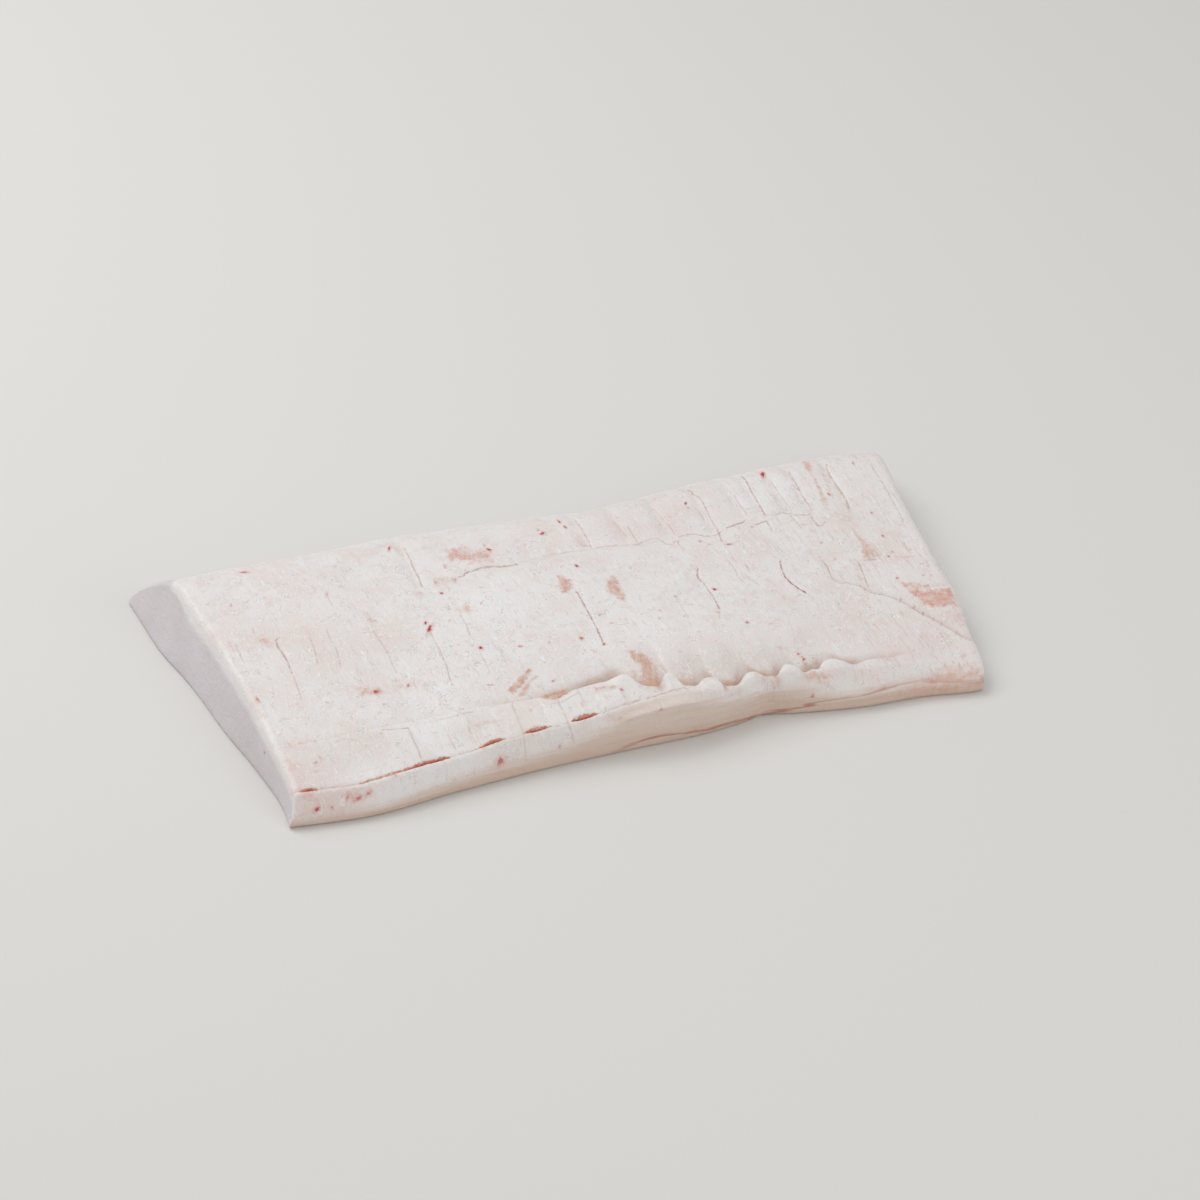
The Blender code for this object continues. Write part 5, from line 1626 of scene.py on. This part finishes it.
spot = stored["spots"]
in_spot = add("CombineXYZ", {0: spot[0], 1: spot[1]})
from_middle = add("VectorMath", {0: in_spot}, operation="LENGTH")
wobble = add("TexNoise", {"Vector": place, "Scale": 1 / WOBBLE_SIZE, "Detail": 2.0})
wobble_by = add("MapRange", {0: wobble, FROM: NOISE_SPREAD, TO: (-WOBBLE, WOBBLE)})
spot_radius = add("Math", {0: from_middle, 1: wobble_by}, operation="ADD")
halo = add("MapRange", {0: spot_radius, FROM: HALO_EDGE, TO: (0.0, HALO_STRENGTH)}, **SMOOTH)
core = add("MapRange", {0: spot_radius, FROM: CORE_EDGE}, **SMOOTH)
core_strength = add("Math", {0: spot[2], 1: WEAK_CORE_POWER}, operation="POWER")
halo_part = add("Math", {0: halo, 1: spot[2]}, operation="MULTIPLY")
core_part = add("Math", {0: core, 1: core_strength}, operation="MULTIPLY", use_clamp=True)
colour = add("Mix", {FACTOR: halo_part, FIRST: colour, SECOND: HALO_PINK}, **COLOURS)
colour = add("Mix", {FACTOR: core_part, FIRST: colour, SECOND: CORE_RED}, **COLOURS)
print("spots drawn")

# %% [markdown]
# ## Knife lines
# A line is where the signed distance passes 0, give or take its half width of 0.85 mm, which
# fades to nothing at the edge. It is brownish grey, or red where blood has run in, and the
# ragged noise breaks it here and there.

# %% Material: knife lines
LINE_HALF_WIDTH = (0.85, 0.15)
LINE_DARKNESS = 0.85
# The grey also draws the painted shade along the tiles' back edges.
LINE_GREY_AND_SHADE, LINE_RED = linear("#BC9A88"), linear("#B2543F")

broken = add("MapRange", {0: ragged, FROM: (0.36, 0.56), TO: (0.30, 1.0)})
line_masks = []
for field_name in ("cuts_across", "cuts_along"):
    cut = stored[field_name]
    bent = add("Math", {0: cut[0], 1: wobble_by}, operation="ADD")
    off_line = add("Math", {0: bent}, operation="ABSOLUTE")
    on_line = add("MapRange", {
        0: off_line, FROM: LINE_HALF_WIDTH, TO: (0.0, LINE_DARKNESS),
    }, **SMOOTH)
    amount = add("Math", {0: on_line, 1: cut[1]}, operation="MULTIPLY")
    amount = add("Math", {0: amount, 1: broken}, operation="MULTIPLY")
    line_colour = add("Mix", {FACTOR: cut[2], FIRST: LINE_GREY_AND_SHADE, SECOND: LINE_RED}, **COLOURS)
    colour = add("Mix", {FACTOR: amount, FIRST: colour, SECOND: line_colour}, **COLOURS)
    line_masks.append(amount)
print("lines drawn up to", 2 * LINE_HALF_WIDTH[0], "mm wide")

# %% [markdown]
# ## Inside the slit
# Where the slit stands open the meat below shows orange brown, and redder in the middle. The
# gape attribute says how far a vertex is inside the opening, and a fine noise tears its edge.

# %% Material: inside the slit
GAPE_TORN = (-0.45, 0.35)
GAPE_EDGE, GAPE_MIDDLE = (-0.7, 0.0), (-0.1, 0.7)
MEAT_BROWN, MEAT_RED = linear("#D99A82"), linear("#C4604A")

torn = add("MapRange", {0: wobble, FROM: NOISE_SPREAD, TO: GAPE_TORN})
gape_depth = add("Math", {0: stored["gape"][0], 1: torn}, operation="ADD")
in_gape = add("MapRange", {0: gape_depth, FROM: GAPE_EDGE}, **SMOOTH)
in_middle = add("MapRange", {0: gape_depth, FROM: GAPE_MIDDLE}, **SMOOTH)
meat = add("Mix", {FACTOR: in_middle, FIRST: MEAT_BROWN, SECOND: MEAT_RED}, **COLOURS)
colour = add("Mix", {FACTOR: in_gape, FIRST: colour, SECOND: meat}, **COLOURS)
print("slit coloured")

# %% [markdown]
# ## Surface
# The skin of the fat is finely wrinkled, about 4 mm apart, and its threads stand a little
# proud. Lines and curls sink. The roughness wanders, because some places are wetter than
# others. Fat has an IOR of about 1.46, and the watery film on it a lower one.

# %% Material: surface
WRINKLE_SIZE = 0.004
SUNK_SHARE = 0.3
BUMP_HEIGHT, BUMP_STRENGTH = 0.0006, 0.85
WET_AND_DRY = (0.36, 0.52)

wrinkles = add("TexNoise", {
    "Vector": place, "Scale": 1 / WRINKLE_SIZE, "Detail": 4.0, "Roughness": 0.65,
    "Distortion": 0.6,
})
proud = add("Math", {0: wrinkles, 1: threads}, operation="ADD")
sunk = add("Math", {0: line_masks[0], 1: line_masks[1]}, operation="MAXIMUM")
sunk = add("Math", {0: sunk, 1: curl_amount}, operation="ADD")
sunk = add("Math", {0: sunk, 1: SUNK_SHARE}, operation="MULTIPLY")
bump_profile = add("Math", {0: proud, 1: sunk}, operation="SUBTRACT")
bump = add("Bump", {"Height": bump_profile, "Strength": BUMP_STRENGTH, "Distance": BUMP_HEIGHT})
wetness = add("MapRange", {0: patches, FROM: NOISE_SPREAD, TO: WET_AND_DRY})
surface = add("BsdfPrincipled", {
    "Base Color": colour, "Roughness": wetness, "Normal": bump, "IOR": 1.46,
    "Subsurface Weight": 0.25, "Subsurface Radius": (1.0, 0.55, 0.40), "Subsurface Scale": 0.003,
    "Coat Weight": 0.15, "Coat Roughness": 0.28, "Coat IOR": 1.38,
})
add("OutputMaterial", {"Surface": surface})
data.materials.append(fat)
print("nodes in the material:", len(tree.nodes))

# %% [markdown]
# ## Studio
# A plain pale floor, a pale surround, and two soft lamps: a large one above and behind to the
# left, and a weak one from the front. The surround does most of the work, so shadows are faint.

# %% Studio
FLOOR_HALF = 4.0
FLOOR_DROP = 0.0003
PAPER_ROUGHNESS = 0.8
# Each lamp as (name, watts, size in metres, where it stands). Both look at the slab.
LAMPS = (
    ("key light", 24.0, 1.6, (-0.9, 1.1, 1.9)),
    ("fill light", 9.0, 1.6, (0.9, -1.8, 1.2)),
)
SURROUND_STRENGTH = 0.56

floor_data = bpy.data.meshes.new("studio_floor")
corners = [(-1, -1), (1, -1), (1, 1), (-1, 1)]
floor_points = [(x * FLOOR_HALF, y * FLOOR_HALF, -FLOOR_DROP) for x, y in corners]
floor_data.from_pydata(floor_points, [], [(0, 1, 2, 3)])
floor = bpy.data.objects.new("studio_floor", floor_data)
bpy.context.scene.collection.objects.link(floor)
paper = bpy.data.materials.new("pale studio paper")
paper.use_nodes = True
paper_shader = paper.node_tree.nodes["Principled BSDF"]
paper_shader.inputs["Base Color"].default_value = linear("#E6E4E0")
paper_shader.inputs["Roughness"].default_value = PAPER_ROUGHNESS
floor_data.materials.append(paper)

for name, power, size_m, stands_at in LAMPS:
    lamp = bpy.data.lights.new(name, "AREA")
    lamp.energy = power
    lamp.size = size_m
    lamp_object = bpy.data.objects.new(name, lamp)
    lamp_object.location = stands_at
    lamp_object.rotation_euler = (-Vector(stands_at)).to_track_quat("-Z", "Y").to_euler()
    bpy.context.scene.collection.objects.link(lamp_object)

world = bpy.data.worlds.new("pale surround")
world.use_nodes = True
world.node_tree.nodes["Background"].inputs["Color"].default_value = linear("#F4F4F5")
world.node_tree.nodes["Background"].inputs["Strength"].default_value = SURROUND_STRENGTH
bpy.context.scene.world = world
bpy.context.scene.view_settings.view_transform = "Standard"
print("lamps:", [(name, power) for name, power, _, _ in LAMPS])

# %% [markdown]
# ## Hand over
# The slab rides on the only body and stands for the CAD solid. The two boxes are written down
# side by side, to show that the size hasn't changed.

# %% Hand over
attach(slab, "root")
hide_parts("fatback")
floor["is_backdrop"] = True
bpy.context.view_layer.update()
visual_box = [[float(v) for v in corner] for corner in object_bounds()]
boxes = (cad_box, visual_box)
spans = [[round(MM_PER_METRE * (b[1][i] - b[0][i]), 1) for i in range(3)] for b in boxes]
print("sizes in mm:", spans)
